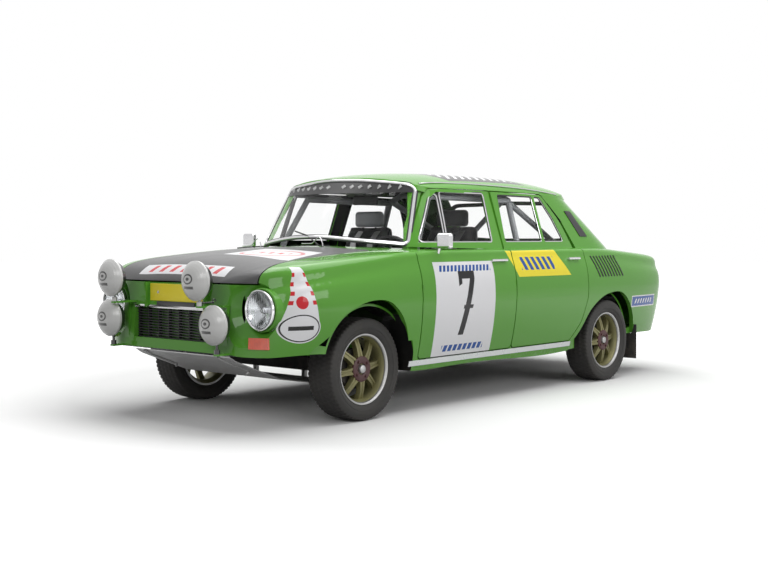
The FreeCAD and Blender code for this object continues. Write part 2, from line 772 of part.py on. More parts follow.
def body_panels(shells):
    """The fixed panels of the body."""
    wells = []
    for place, rows in ((0, front_arch_shares), (1, rear_arch_shares)):
        wells += both_sides(wheel_well(place, 0)) + both_sides(arch_cut(rows, place))
    spaces = hollow_spaces(shells.lower_rebate, shells.lower_door)
    lids = [lid_plug(True, lid_gap / 2), lid_plug(False, lid_gap / 2)]
    scoops, sockets = nose_cuts()
    lower = shells.lower.cut(scoops).fuse(lamp_pods(shells)).cut(sockets)
    lower = cut_all(lower, spaces + wells + lids + door_openings(shells.lower_rebate))
    roof = roof_shell(shells)
    front_split = middle_of_front_pillar_share
    nose = lower.common(everywhere(nose_end_share, nose_split_share))
    front = lower.common(everywhere(nose_split_share, front_split))
    floor_zone, scuttle_zone, front_zone, middle_zone, corner_zone = cabin_zones()
    floor = lower.common(floor_zone)
    scuttle = lower.common(scuttle_zone)
    front_pillars = lower.common(front_zone)
    middle_pillars = lower.common(middle_zone)
    rear = lower.common(everywhere(rear_split_share, tail_end_share).fuse(corner_zone))
    front_hinges = []
    for shape in door_hinges(front_gap_share, True):
        front_hinges += both_sides(shape)
    middle_hinges = []
    for shape in door_hinges(middle_gap_share, True):
        middle_hinges += both_sides(shape)
    front = front.fuse(front_hinges + lid_hinges(front_lid_rear_share, True, True))
    pillars = group([front_pillars, middle_pillars.fuse(middle_hinges)])
    rear = rear.fuse(lid_hinges(engine_lid_front_share, True, False))
    panels = {"nose_panel": nose, "front_body": front, "floor_pan": floor}
    panels.update({"scuttle_panel": scuttle, "door_pillars": pillars})
    panels.update({"rear_body": rear, "roof_shell": roof})
    return panels


middle_of_front_pillar_share = front_gap_share + 0.001
nose_end_share = -1.4
tail_end_share = 2.4


def door_panel(shells, rows, windows, place):
    """Left door: outer skin with its flange, inner box and window frame."""
    outline = door_plug(rows, -panel_gap / 2, False)
    skin = outline.common(shells.lower).cut(shells.lower_flange)
    frame = outline.common(shells.walls.cut(shells.walls_flange)).cut(shells.lower_flange)
    frame = cut_all(frame, [window_plug(window) for window in windows])
    inner_plug = door_plug(rows, -panel_gap / 2 - door_flange, True)
    inner = inner_plug.common(shells.lower_flange).cut(shells.lower_door)
    return fused([skin, frame, inner] + door_hinges(place, False))


def door_glass(shells, windows):
    """Left door's panes."""
    return group([window_plug(window).common(shells.glass) for window in windows])


def lid_panel(shells, front):
    """Front lid or engine lid."""
    shift = lid_thickness if front else -lid_thickness
    inner = shells.lower_flange.translated(V(0, shift, 0))
    lid = lid_plug(front, -lid_gap / 2).common(shells.lower).cut(inner)
    place = front_lid_rear_share if front else engine_lid_front_share
    return lid.fuse(lid_hinges(place, False, front))


# What is fixed to the nose: grille, lamps, their brackets, turn signals and skid plate
grille_slats = 12
grille_bars = 9
grille_slat_height = 5.0
grille_slat_depth = 26.0
grille_bar_width = 6.0
grille_bar_depth = 20.0
headlamp_rim_width = 11.0
headlamp_rim_depth = 12.0
headlamp_dome = 14.0
headlamp_dome_steps = 6
driving_dome_steps = 8
driving_shell_shares = (0.8, 0.6)
stem_setback_share = 0.3
driving_lamp_radius = 100.0
driving_lamp_dome = 50.0
driving_lamp_band = 12.0
driving_lamp_back_depth = 58.0
driving_lamp_back_radius = 38.0
lamp_stem_radius = 7.0
lamp_nut_radius = 15.0
lamp_nut_height = 22.0
upper_lamp_x = 350.0
upper_lamp_z = 763.0
upper_lamp_share = -1.225
lower_lamp_x = 426.0
lower_lamp_z = 543.0
lower_lamp_share = -1.158
upper_arm_z = 637.0
lower_arm_z = 398.0
lamp_arm_height = 10.0
lamp_arm_width = 26.0
lamp_post_inner = 385.0
lamp_post_outer = 420.0
lamp_post_depth = 20.0
plate_bar_x = 240.0
plate_bar_width = 12.0
signal_depth = 14.0
signal_inner = 552.0
signal_outer = 648.0
signal_low = 423.0
signal_high = 480.0
tail_lamp_inner = 560.0
tail_lamp_outer = 700.0
tail_lamp_low = 590.0
tail_lamp_high = 722.0
tail_lamp_depth = 12.0
trim_thickness = 3.0


def radiator_grille():
    """Slats and upright bars in the nose opening."""
    half = half_width * grille_half_share
    floor = along(-1) + grille_depth
    height = grille_high - grille_low
    shapes = []
    for index in range(grille_slats):
        low = grille_low + (height - grille_slat_height) * index / (grille_slats - 1)
        shapes.append(box(-half, half, floor - grille_slat_depth, floor, low, low + grille_slat_height))
    for index in range(grille_bars):
        left = -half + (half + half - grille_bar_width) * index / (grille_bars - 1)
        right = left + grille_bar_width
        shapes.append(box(left, right, floor - grille_bar_depth, floor, grille_low, grille_high))
    return fused(shapes)


def turned(profile, base, axis):
    """Solid of revolution of (radius, distance) points about an axis through the base."""
    points = [V(radius, 0, distance) for radius, distance in profile]
    edges = Part.makePolygon(points + [points[0]])
    shape = Part.Face(edges).revolve(V(0, 0, 0), V(0, 0, 1), 360)
    shape.Placement = FreeCAD.Placement(base, FreeCAD.Rotation(V(0, 0, 1), axis))
    return shape


def dome_profile(radius, height, steps):
    """Points of a shallow dome from its rim to its top, as (radius, distance)."""
    ball = (radius ** 2 + height ** 2) / (height + height)
    points = []
    for index in range(steps + 1):
        across = radius * (1 - index / steps)
        points.append((across, math.sqrt(ball ** 2 - across ** 2) - (ball - height)))
    return points


def headlamps():
    """Round lamp with its rim, seated in the bucket of each pod."""
    y = along(headlamp_front_share)
    outer = headlamp_radius - fit_clearance
    lens = outer - headlamp_rim_width
    profile = [(0, -headlamp_depth), (outer, -headlamp_depth), (outer, headlamp_rim_depth / 2)]
    profile += [(outer - headlamp_rim_width / 2, headlamp_rim_depth), (lens, headlamp_rim_depth / 2)]
    dome = dome_profile(lens, headlamp_dome, headlamp_dome_steps)
    profile += [(r, headlamp_rim_depth / 2 + h) for r, h in dome[1:]]
    return group(both_sides(turned(profile, V(headlamp_x, y, headlamp_z), V(0, -1, 0))))


def driving_lamps():
    """Four large covered lamps on stems ahead of the nose."""
    radius = driving_lamp_radius
    back = driving_lamp_back_depth
    wide, deep = driving_shell_shares
    profile = [(0, -back), (driving_lamp_back_radius, -back), (radius * wide, -back * deep), (radius, 0)]
    profile += [(radius, driving_lamp_band)]
    dome = dome_profile(radius, driving_lamp_dome, driving_dome_steps)
    profile += [(r, driving_lamp_band + h) for r, h in dome[1:]]
    shapes = []
    for x, z, place, arm in ((upper_lamp_x, upper_lamp_z, upper_lamp_share, upper_arm_z),
                             (lower_lamp_x, lower_lamp_z, lower_lamp_share, lower_arm_z)):
        y = along(place)
        lamp = turned(profile, V(x, y, z), V(0, -1, 0))
        foot = V(x, y + back * stem_setback_share, arm)
        stem = Part.makeCylinder(lamp_stem_radius, z - radius / 2 - arm, foot)
        nut = Part.makeCylinder(lamp_nut_radius, lamp_nut_height, foot)
        shapes += both_sides(fused([lamp, stem, nut]))
    return group(shapes)


def lamp_brackets(shells):
    """Posts on the nose, arms under the lamps and the bars beside the plate."""
    face = along(-1) + lamp_post_depth
    front = along(-1) - lamp_post_depth
    post = box(lamp_post_inner, lamp_post_outer, front, face, lower_arm_z - lamp_arm_height, upper_arm_z)
    half = lamp_arm_width / 2
    setback = driving_lamp_back_depth * stem_setback_share
    start = along(upper_lamp_share) + setback - half
    low = upper_arm_z - lamp_arm_height
    upper = box(upper_lamp_x - half, upper_lamp_x + half, start, face, low, upper_arm_z)
    link = box(upper_lamp_x, lamp_post_outer, front - lamp_arm_width, front + lamp_arm_height,
               upper_arm_z - lamp_arm_height, upper_arm_z)
    start = along(lower_lamp_share) + setback - half
    low = lower_arm_z - lamp_arm_height
    lower = box(lower_lamp_x - half, lower_lamp_x + half, start, face, low, lower_arm_z)
    lamp_side = fused([post, upper, link, lower]).cut(shells.lower)
    bar = box(plate_bar_x - plate_bar_width / 2, plate_bar_x + plate_bar_width / 2, front, face, grille_high,
              belt_height * plate_bar_top_share).cut(shells.lower)
    return group(both_sides(lamp_side) + both_sides(bar))


plate_bar_top_share = 0.818
signal_span_shares = (-1.2, -0.87)
tail_lamp_span_shares = (1.90, 2.2)


def turn_signals(shells):
    """Lamps that wrap round the lower corners of the nose."""
    skin = lower_body(-signal_depth)
    start, end = signal_span_shares
    zone = box(signal_inner, signal_outer, along(start), along(end), signal_low, signal_high)
    return group(both_sides(zone.common(skin).cut(shells.lower)))


def tail_lamps(shells):
    """Lamps on the tail panel."""
    skin = lower_body(-tail_lamp_depth)
    start, end = tail_lamp_span_shares
    zone = box(tail_lamp_inner, tail_lamp_outer, along(start), along(end), tail_lamp_low, tail_lamp_high)
    return group(both_sides(zone.common(skin).cut(shells.lower)))


# Skid plate under the nose: side outline as place and height shares of its upper face
skid_shares = [(-0.960, 0.411), (-0.902, 0.384), (-0.452, 0.254), (-0.125, 0.213), (0.030, 0.213)]
skid_half_width = 385.0
skid_thickness = 6.0
skid_strap_x = 300.0
skid_strap_share = -0.90
skid_strap_width = 24.0
skid_strut_x = 200.0


def skid_plate(shells):
    """Bent sheet under the nose with its straps."""
    upper = side_corners(skid_shares)
    lower = [(y, z - skid_thickness) for y, z in reversed(upper)]
    outline = [V(-skid_half_width, y, z) for y, z in upper + lower]
    face = Part.Face(Part.makePolygon(outline + [outline[0]]))
    sheet = face.extrude(V(skid_half_width + skid_half_width, 0, 0))
    half = skid_strap_width / 2
    straps = []
    nose_y = along(skid_strap_share)
    foot = belt_height * skid_shares[1][1] - skid_thickness
    for x in (-skid_strap_x, skid_strap_x):
        straps.append(box(x - half, x + half, nose_y, nose_y + skid_strap_width, foot, belt_height / 2))
    tail = upper[-1][0] - skid_strap_width
    for x in (-skid_strut_x, skid_strut_x):
        straps.append(box(x - half, x + half, tail, tail + skid_strap_width,
                          upper[-1][1] - skid_thickness / 2, crossmember_low))
    return fused([sheet] + straps).cut(shells.lower)


# Front suspension: crossmember, arms and the bosses that hold the knuckles
crossmember_half = 330.0
crossmember_length = 90.0
crossmember_low = 246.0
kingpin_x = 590.0
kingpin_radius = 8.0
boss_radius = 18.0
boss_height = 20.0
boss_spread = 70.0
arm_radius = 13.0
arm_tube_radius = arm_radius * 0.7
knuckle_radius = 20.0
stub_radius = 16.0
stub_reach = 60.0
drum_radius = 110.0
drum_width = 24.0
drum_offset = 24.0


def front_suspension(shells):
    """Crossmember and the arms on both sides."""
    y = along(0)
    half = crossmember_length / 2
    beam = box(-crossmember_half, crossmember_half, y - half, y + half, crossmember_low, belt_height / 2)
    beam = beam.cut(shells.lower)
    low_pivot = V(kingpin_x, y, tyre_radius - boss_spread - boss_height / 2)
    high_pivot = V(kingpin_x, y, tyre_radius + boss_spread + boss_height / 2)
    root_x = crossmember_half - arm_radius
    shapes = [beam]
    uppers = []
    for sign in (-1, 1):
        pivot = V(low_pivot.x * sign, low_pivot.y, low_pivot.z)
        boss = Part.makeCylinder(boss_radius, boss_height, pivot - V(0, 0, boss_height / 2))
        arms = [boss]
        for side in (-1, 1):
            root = V(root_x * sign, y + side * (half - arm_radius), crossmember_low + arm_radius * 2)
            arms.append(tube(root, pivot - V(0, 0, boss_height / 4), arm_tube_radius))
        start = pivot - V(0, 0, boss_height)
        bore = Part.makeCylinder(kingpin_radius + fit_clearance, boss_height * 2, start)
        shapes.append(fused(arms).cut(bore))
        pivot = V(high_pivot.x * sign, high_pivot.y, high_pivot.z)
        boss = Part.makeCylinder(boss_radius, boss_height, pivot - V(0, 0, boss_height / 2))
        arm = tube(V(well_inner_x * sign, y, pivot.z), pivot, arm_tube_radius)
        start = pivot - V(0, 0, boss_height)
        bore = Part.makeCylinder(kingpin_radius + fit_clearance, boss_height * 2, start)
        uppers.append(fused([boss, arm]).cut(bore))
    return group([fused(shapes)] + uppers)


def knuckle():
    """Left front knuckle: upright with its pins, stub axle and brake backing."""
    y = along(0)
    low = tyre_radius - boss_spread + fit_clearance
    upright = Part.makeCylinder(knuckle_radius, (boss_spread - fit_clearance) * 2, V(kingpin_x, y, low))
    pin_length = (boss_spread + boss_height) * 2
    pin = Part.makeCylinder(kingpin_radius, pin_length, V(kingpin_x, y, tyre_radius - pin_length / 2))
    centre = V(kingpin_x, y, tyre_radius)
    axis = V(1, 0, 0)
    stub = Part.makeCylinder(stub_radius, front_wheel_plane + stub_reach - kingpin_x, centre, axis)
    drum = Part.makeCylinder(drum_radius, drum_width, centre + axis * drum_offset, axis)
    return fused([upright, pin, stub, drum])


# Rear suspension and power unit
axle_tube_radius = 25.0
gearbox_half = 120.0
gearbox_low = 225.0
gearbox_high = 480.0
engine_half = 230.0
engine_low = 330.0
engine_high = 780.0
engine_start_share = 1.395
engine_end_share = 1.825
trail_arm_radius = 18.0
trail_arm_x = 450.0
trail_arm_share = 0.850
trail_arm_z = 214.0
silencer_radius = 60.0
silencer_half = 250.0
silencer_share = 1.768
silencer_z = 262.0
hanger_share = 0.6
tailpipe_x = 200.0
tailpipe_radius = 20.0
tailpipe_end_share = 2.0251
hanger_width = 12.0


def rear_suspension(shells):
    """Axle tubes with their stubs, brake backings and trailing arms."""
    y = along(1)
    outer = rear_wheel_plane - (front_wheel_plane - kingpin_x) + drum_offset
    axis = V(1, 0, 0)
    start = V(gearbox_half, y, tyre_radius)
    end = V(outer, y, tyre_radius)
    axle = Part.makeCylinder(axle_tube_radius, outer - gearbox_half, start, axis)
    stub = Part.makeCylinder(stub_radius, rear_wheel_plane + stub_reach - outer, end, axis)
    drum = Part.makeCylinder(drum_radius, drum_width, end, axis)
    foot = V(trail_arm_x, along(trail_arm_share), trail_arm_z)
    knee = V(outer - drum_radius, y, tyre_radius)
    half = trail_arm_radius
    bracket = box(foot.x - half, foot.x + half, foot.y - half, foot.y + half, foot.z - half, belt_height / 2)
    side = fused([axle, stub, drum, tube(foot, knee, trail_arm_radius), bracket.cut(shells.lower)])
    return group(both_sides(side))


def engine_block():
    """Engine and gearbox as plain blocks."""
    front = along(engine_front_share)
    middle = along(engine_start_share)
    gearbox = box(-gearbox_half, gearbox_half, front, middle, gearbox_low, gearbox_high)
    engine = box(-engine_half, engine_half, middle, along(engine_end_share), engine_low, engine_high)
    return fused([gearbox, engine])


def exhaust():
    """Silencer across the tail, hung from the engine, with its tail pipe."""
    y = along(silencer_share)
    start = V(-silencer_half, y, silencer_z)
    silencer = Part.makeCylinder(silencer_radius, silencer_half + silencer_half, start, V(1, 0, 0))
    end = V(-tailpipe_x, along(tailpipe_end_share), silencer_z)
    pipe = tube(V(-tailpipe_x, y, silencer_z), end, tailpipe_radius)
    shapes = [silencer, pipe]
    for sign in (-1, 1):
        x = sign * silencer_half * hanger_share
        shapes.append(box(x, x + hanger_width, y - hanger_width, y + hanger_width, silencer_z, engine_low))
    return fused(shapes)


# Wheels
tyre_profile_shares = [
    (-0.755, 0.690), (-0.900, 0.700), (-1.000, 0.800), (-1.000, 0.905), (-0.930, 0.970), (-0.800, 1.000),
    (0.800, 1.000), (0.930, 0.970), (1.000, 0.905), (1.000, 0.800), (0.900, 0.700), (0.755, 0.690),
]
rim_lip_width = 9.0
hub_radius = 45.0
hub_inner_offset = 14.0
rim_disc_offset = 34.0
rim_disc_depth = 22.0
rim_spoke_width = 44.0


def tyre(plane, place):
    """Left tyre around its rim."""
    half = tyre_width / 2
    bead = rim_width / 2 - rim_lip_width - fit_clearance
    profile = [(rim_radius, bead), (rim_radius, -bead), (rim_lip_radius + fit_clearance, -bead)]
    profile += [(tyre_radius * height, half * across) for across, height in tyre_profile_shares]
    profile += [(rim_lip_radius + fit_clearance, bead)]
    return turned(profile, V(plane, along(place), tyre_radius), V(1, 0, 0))


def rim(plane, place):
    """Left wheel rim: barrel with two lips, spokes and the hub with its bore."""
    half = rim_width / 2
    base = V(plane, along(place), tyre_radius)
    inner = rim_radius - rim_wall
    lip = half - rim_lip_width
    profile = [(inner, -half), (rim_lip_radius, -half), (rim_lip_radius, -lip), (rim_radius, -lip)]
    profile += [(rim_radius, lip), (rim_lip_radius, lip), (rim_lip_radius, half), (inner, half)]
    shapes = [turned(profile, base, V(1, 0, 0))]
    disc_x = plane + rim_disc_offset
    axis = V(1, 0, 0)
    hub_start = plane + hub_inner_offset
    start = V(hub_start, base.y, base.z)
    shapes.append(Part.makeCylinder(hub_radius, disc_x + rim_disc_depth - hub_start, start, axis))
    shapes.append(Part.makeCylinder(hub_ring_radius, rim_disc_depth, V(disc_x, base.y, base.z), axis))
    side = rim_spoke_width / 2
    spoke_end = base.z + rim_radius - rim_wall / 2
    spoke = box(disc_x, disc_x + rim_disc_depth, base.y - side, base.y + side, base.z + hub_radius, spoke_end)
    for index in range(spoke_count):
        turned_spoke = spoke.copy()
        turned_spoke.rotate(base, axis, 360 * index / spoke_count)
        shapes.append(turned_spoke)
    face = V(disc_x + rim_disc_depth, base.y, base.z)
    cap = Part.makeCylinder(hub_cap_radius, rim_disc_depth / 2, face, axis)
    bore_depth = plane + stub_reach + fit_clearance - hub_start
    bore = Part.makeCylinder(stub_radius + fit_clearance, bore_depth, start, axis)
    return fused(shapes + [cap]).cut(bore)


# Cabin fittings
seat_shares = [(0.300, 0.36), (0.300, 0.48), (0.318, 0.522), (0.466, 0.500), (0.502, 1.130), (0.515, 1.166),
               (0.542, 1.155), (0.527, 0.750), (0.508, 0.36)]
seat_radius_share = 0.018
seat_x = 350.0
seat_width = 460.0
seat_base_width = 360.0
headrest_width = 230.0
headrest_height = 110.0
headrest_depth = 70.0
headrest_share = 0.526
headrest_z = belt_height * seat_shares[5][1] - headrest_height / 4
headrest_rounding = 21.0
seat_cushion_z = belt_height * seat_shares[3][1]
cage_radius = 19.0
dash_shares = [(0.176, 0.930), (0.225, 0.910), (0.240, 0.86), (0.225, 0.77), (0.176, 0.77)]
dash_half_width = 530.0
dash_rounding = fit_clearance * 10
column_radius = 20.0
wheel_ring_radius = 180.0
wheel_ring_thickness = 12.0
wheel_hub_radius = 34.0
wheel_hub_depth = 24.0
wheel_spokes = 3
wheel_centre_share = 0.2917
wheel_centre_z = 815.0
wheel_rake = 25.0
column_pin_length = 60.0
gear_lever_height = 260.0
gear_knob_radius = 22.0
gear_lever_share = 0.300


def seat(x):
    """Seat with its base and headrest."""
    corners = side_corners(seat_shares)
    radii = [belt_height * seat_radius_share] * len(corners)
    body = prism(corners, radii, "x", x - seat_width / 2, seat_width)
    half = seat_base_width / 2
    base_start = corners[1][0] + headrest_depth
    base_end = corners[-1][0] - headrest_depth
    base_top = seat_cushion_z - headrest_depth
    base = box(x - half, x + half, base_start, base_end, floor_level, base_top)
    half = headrest_width / 2
    start = along(headrest_share) - headrest_depth / 2
    top = headrest_z + headrest_height
    headrest = box(x - half, x + half, start, start + headrest_depth, headrest_z, top)
    headrest = headrest.makeFillet(headrest_rounding, headrest.Edges)
    return fused([body, base, headrest])


def wheel_axis():
    """Direction of the steering column, from the dash to the driver."""
    rake = math.radians(wheel_rake)
    return V(0, math.cos(rake), math.sin(rake))


def dashboard():
    """Dashboard on the front bulkhead with the steering column."""
    corners = side_corners(dash_shares)
    start = along(firewall_share)
    corners = [(start if row[0] == dash_shares[0][0] else y, z) for row, (y, z) in zip(dash_shares, corners)]
    radii = [dash_rounding] * len(corners)
    body = prism(corners, radii, "x", -dash_half_width, dash_half_width + dash_half_width)
    axis = wheel_axis()
    centre = V(seat_x, along(wheel_centre_share), wheel_centre_z)
    end = centre - axis * (wheel_hub_depth + fit_clearance)
    column = tube(end - axis * wheel_ring_radius, end, column_radius)
    bore = tube(end - axis * column_pin_length, end, kingpin_radius + fit_clearance)
    return fused([body, column]).cut(bore)


def steering_wheel():
    """Ring, spokes and hub with the pin that runs in the column."""
    axis = wheel_axis()
    centre = V(seat_x, along(wheel_centre_share), wheel_centre_z)
    ring = Part.makeTorus(wheel_ring_radius, wheel_ring_thickness, centre, axis)
    hub = tube(centre - axis * wheel_hub_depth, centre + axis * wheel_ring_thickness, wheel_hub_radius)
    pin = tube(centre - axis * (wheel_hub_depth + column_pin_length - fit_clearance), centre, kingpin_radius)
    shapes = [ring, hub, pin]
    spoke_axis = V(1, 0, 0)
    for index in range(wheel_spokes):
        turn = FreeCAD.Rotation(axis, 360 * index / wheel_spokes)
        reach = turn.multVec(spoke_axis) * wheel_ring_radius
        shapes.append(tube(centre, centre + reach, wheel_ring_thickness / 2))
    return fused(shapes)


def pipe_run(points, radius):
    """Bent tube through points, with round elbows."""
    shapes = []
    for start, end in zip(points, points[1:]):
        shapes.append(tube(start, end, radius))
    for point in points[1:-1]:
        shapes.append(Part.makeSphere(radius * elbow_share, point))
    return shapes


elbow_share = 1.05

# Roll cage as runs of (across share, place share, height share of the belt)
cage_hoop_shares = [(0.727, 0.671, 0.305), (0.727, 0.671, 0.994), (0.622, 0.671, 1.343),
                    (0.480, 0.671, 1.398)]
cage_front_shares = [(0.622, 0.671, 1.343), (0.616, 0.333, 1.350), (0.680, 0.262, 1.030),
                     (0.690, 0.250, 0.773), (0.690, 0.235, 0.305)]
cage_stay_shares = [(0.591, 0.671, 1.355), (0.530, 0.992, 0.985)]
cage_cross_shares = [(-0.727, 0.671, 0.332), (0.591, 0.671, 1.355)]
cage_belt_share = 0.840
cage_brace_radius = cage_radius * 0.9


def cage_point(row):
    """Point of a cage row."""
    return V(half_width * row[0], along(row[1]), belt_height * row[2])


def roll_cage(shells):
    """Hoop, front legs, rear stays and diagonal."""
    hoop = [cage_point(row) for row in cage_hoop_shares]
    hoop[0].z = floor_level
    whole = hoop + [V(-q.x, q.y, q.z) for q in reversed(hoop)]
    front = [cage_point(row) for row in cage_front_shares]
    front[-1].z = floor_level
    stay = [cage_point(row) for row in cage_stay_shares]
    shapes = pipe_run(whole, cage_radius)
    for sign in (-1, 1):
        for run in (front, stay):
            shapes += pipe_run([V(q.x * sign, q.y, q.z) for q in run], cage_radius)
    shapes += pipe_run([cage_point(row) for row in cage_cross_shares], cage_brace_radius)
    level = belt_height * cage_belt_share
    start = V(-hoop[0].x, hoop[0].y, level)
    shapes.append(tube(start, V(hoop[0].x, hoop[0].y, level), cage_brace_radius))
    return fused(shapes).cut(shells.lower_door_shell)


def gear_lever():
    """Lever on the floor with its knob."""
    y = along(gear_lever_share)
    stick = Part.makeCylinder(kingpin_radius, gear_lever_height, V(0, y, floor_level))
    boot = Part.makeCone(hub_cap_radius * 2, kingpin_radius, hub_cap_radius * 2, V(0, y, floor_level))
    return fused([boot, stick, Part.makeSphere(gear_knob_radius, V(0, y, floor_level + gear_lever_height))])


# Outside fittings
sill_trim_low = 268.0
sill_trim_high = 299.0
sill_trim_shares = (0.127, 0.815)
mudflap_inner = 620.0
mudflap_outer = 786.0
mudflap_low = 120.0
mudflap_thickness = 6.0
mudflap_share = 1.452
mudflap_high = belt_height * 0.4
trim_zone_inner = half_width * 0.6
trim_zone_outer = half_width * 1.1
louvre_count = 9
louvre_width = 13.0
louvre_top_shares = (0.9075, 1.108, 0.946)
louvre_foot_shares = (0.9420, 1.198, 0.789)
pillar_vent_shares = [(0.8630, 1.262), (0.8930, 1.262), (0.9400, 1.063), (0.9050, 1.063)]
pillar_vent_thickness = 4.0
louvre_inner = half_width * 0.8


def sill_trim(shells):
    """Bright strips along the sills."""
    skin = lower_body(-trim_thickness)
    start, end = sill_trim_shares
    zone = box(trim_zone_inner, trim_zone_outer, along(start), along(end), sill_trim_low, sill_trim_high)
    return group(both_sides(zone.common(skin).cut(shells.lower)))


def mudflaps(shells):
    """Flaps behind the rear wheels."""
    y = along(mudflap_share)
    flap = box(mudflap_inner, mudflap_outer, y, y + mudflap_thickness, mudflap_low, mudflap_high)
    return group(both_sides(flap.cut(shells.lower)))


def cooling_vents(shells):
    """Louvres above the rear wheels and the vents on the rear pillars."""
    skin = lower_body(-trim_thickness)
    slats = []
    top_z = belt_height * louvre_top_shares[2]
    foot_z = belt_height * louvre_foot_shares[2]
    reach = trim_zone_outer - louvre_inner
    for index in range(louvre_count):
        share = index / (louvre_count - 1)
        top_y = along(louvre_top_shares[0]) * (1 - share) + along(louvre_top_shares[1]) * share
        foot_y = along(louvre_foot_shares[0]) * (1 - share) + along(louvre_foot_shares[1]) * share
        corners = [(top_y, top_z), (top_y + louvre_width, top_z)]
        corners += [(foot_y + louvre_width, foot_z), (foot_y, foot_z)]
        slats.append(prism(corners, [trim_thickness] * 4, "x", louvre_inner, reach))
    shapes = both_sides(group(slats).common(skin).cut(shells.lower))
    grown = cabin_walls(-pillar_vent_thickness)
    reach = half_width - trim_zone_inner
    vent = prism(side_corners(pillar_vent_shares), [louvre_width] * 4, "x", trim_zone_inner, reach)
    shapes += both_sides(vent.common(grown).cut(shells.walls))
    return group(shapes)


# Door fittings
handle_radius = 8.0
handle_level = 842.0
handle_foot = 18.0
handle_standoff = 22.0
handle_root = 66.0
front_handle_shares = (0.434, 0.499)
rear_handle_shares = (0.788, 0.843)
mirror_share = 0.2300
mirror_x = 806.0
mirror_z = 959.0
mirror_half_width = 52.0
mirror_half_height = 44.0
mirror_depth = 34.0
mirror_stem_radius = 8.0
mirror_rounding = 15.3
mirror_foot_z = belt_height * 0.97


def door_fittings(shells, places, mirror):
    """Left door's handle, and on a front door the mirror."""
    start = along(places[0])
    end = along(places[1])
    x = waist_at(places[0]) - half_width * tumble_share + handle_standoff
    bar = Part.makeCylinder(handle_radius, end - start, V(x, start, handle_level), V(0, 1, 0))
    shapes = [bar]
    low = handle_level - handle_radius / 2
    for y in (start, end - handle_foot):
        shapes.append(box(x - handle_root, x, y, y + handle_foot, low, low + handle_radius))
    solids = [fused(shapes).cut(shells.lower)]
    if mirror:
        y = along(mirror_share)
        left = mirror_x - mirror_half_width
        low = mirror_z - mirror_half_height
        high = mirror_z + mirror_half_height
        head = box(left, mirror_x + mirror_half_width, y, y + mirror_depth, low, high)
        head = head.makeFillet(mirror_rounding, head.Edges)
        middle = y + mirror_depth / 2
        foot = V(left, middle, mirror_foot_z)
        stem = tube(foot, V(mirror_x - mirror_half_width / 2, middle, mirror_z), mirror_stem_radius)
        solids.append(fused([head, stem]).cut(shells.lower))
    return group(solids)


def write(name, shape):
    """Write one piece to its file."""
    shape.exportStep("parts/" + name + ".step")
    print(name, len(shape.Solids), shape.isValid())


def main():
    """Build and write every piece."""
    os.makedirs("parts", exist_ok=True)
    shells = Shells()
    for name, shape in body_panels(shells).items():
        write(name, shape)
    doors = (("front", front_door_shares, (front_quarter_shares, front_pane_shares), front_gap_share),
             ("rear", rear_door_shares, (rear_pane_shares, rear_quarter_shares), middle_gap_share))
    for name, rows, windows, place in doors:
        panel = door_panel(shells, rows, windows, place)
        glass = door_glass(shells, windows)
        write(name + "_left_door", panel)
        write(name + "_right_door", mirrored(panel))
        write(name + "_left_glass", glass)
        write(name + "_right_glass", mirrored(glass))
    write("front_lid", lid_panel(shells, True))
    write("engine_lid", lid_panel(shells, False))
    screens = [screen_plug(screen_shares, True), screen_plug(rear_screen_shares, False)]
    write("fixed_glass", group([plug.common(shells.glass) for plug in screens]))
    write("radiator_grille", radiator_grille())
    write("headlamps", headlamps())
    write("driving_lamps", driving_lamps())
    write("lamp_brackets", lamp_brackets(shells))
    write("turn_signals", turn_signals(shells))
    write("tail_lamps", tail_lamps(shells))
    write("skid_plate", skid_plate(shells))
    write("front_suspension", front_suspension(shells))
    write("rear_suspension", rear_suspension(shells))
    write("engine_block", engine_block())
    write("exhaust", exhaust())
    write("mudflaps", mudflaps(shells))
    write("sill_trim", sill_trim(shells))
    write("cooling_vents", cooling_vents(shells))
    write("driver_seat", seat(seat_x))
    write("passenger_seat", seat(-seat_x))
    write("dashboard", dashboard())
    write("steering_wheel", steering_wheel())
    write("gear_lever", gear_lever())
    write("roll_cage", roll_cage(shells))
    for side, turn in (("left", False), ("right", True)):
        for name, shape in sided_pieces(shells).items():
            write(name.replace("_side_", "_" + side + "_"), mirrored(shape) if turn else shape)


def sided_pieces(shells):
    """Pieces that come in a left and a right form, made for the left."""
    pieces = {"front_side_knuckle": knuckle()}
    for end, plane, place in (("front", front_wheel_plane, 0), ("rear", rear_wheel_plane, 1)):
        pieces[end + "_side_tyre"] = tyre(plane, place)
        pieces[end + "_side_rim"] = rim(plane, place)
    pieces["front_side_fittings"] = door_fittings(shells, front_handle_shares, True)
    pieces["rear_side_fittings"] = door_fittings(shells, rear_handle_shares, False)
    return pieces


if __name__ == "__main__":
    main()
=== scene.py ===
"""Rally car: finishes, fine pieces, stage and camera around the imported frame."""
import json
import math

import bmesh
import bpy
from bpy.props import FloatProperty, FloatVectorProperty, IntProperty, PointerProperty
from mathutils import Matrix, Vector
from mathutils.bvhtree import BVHTree


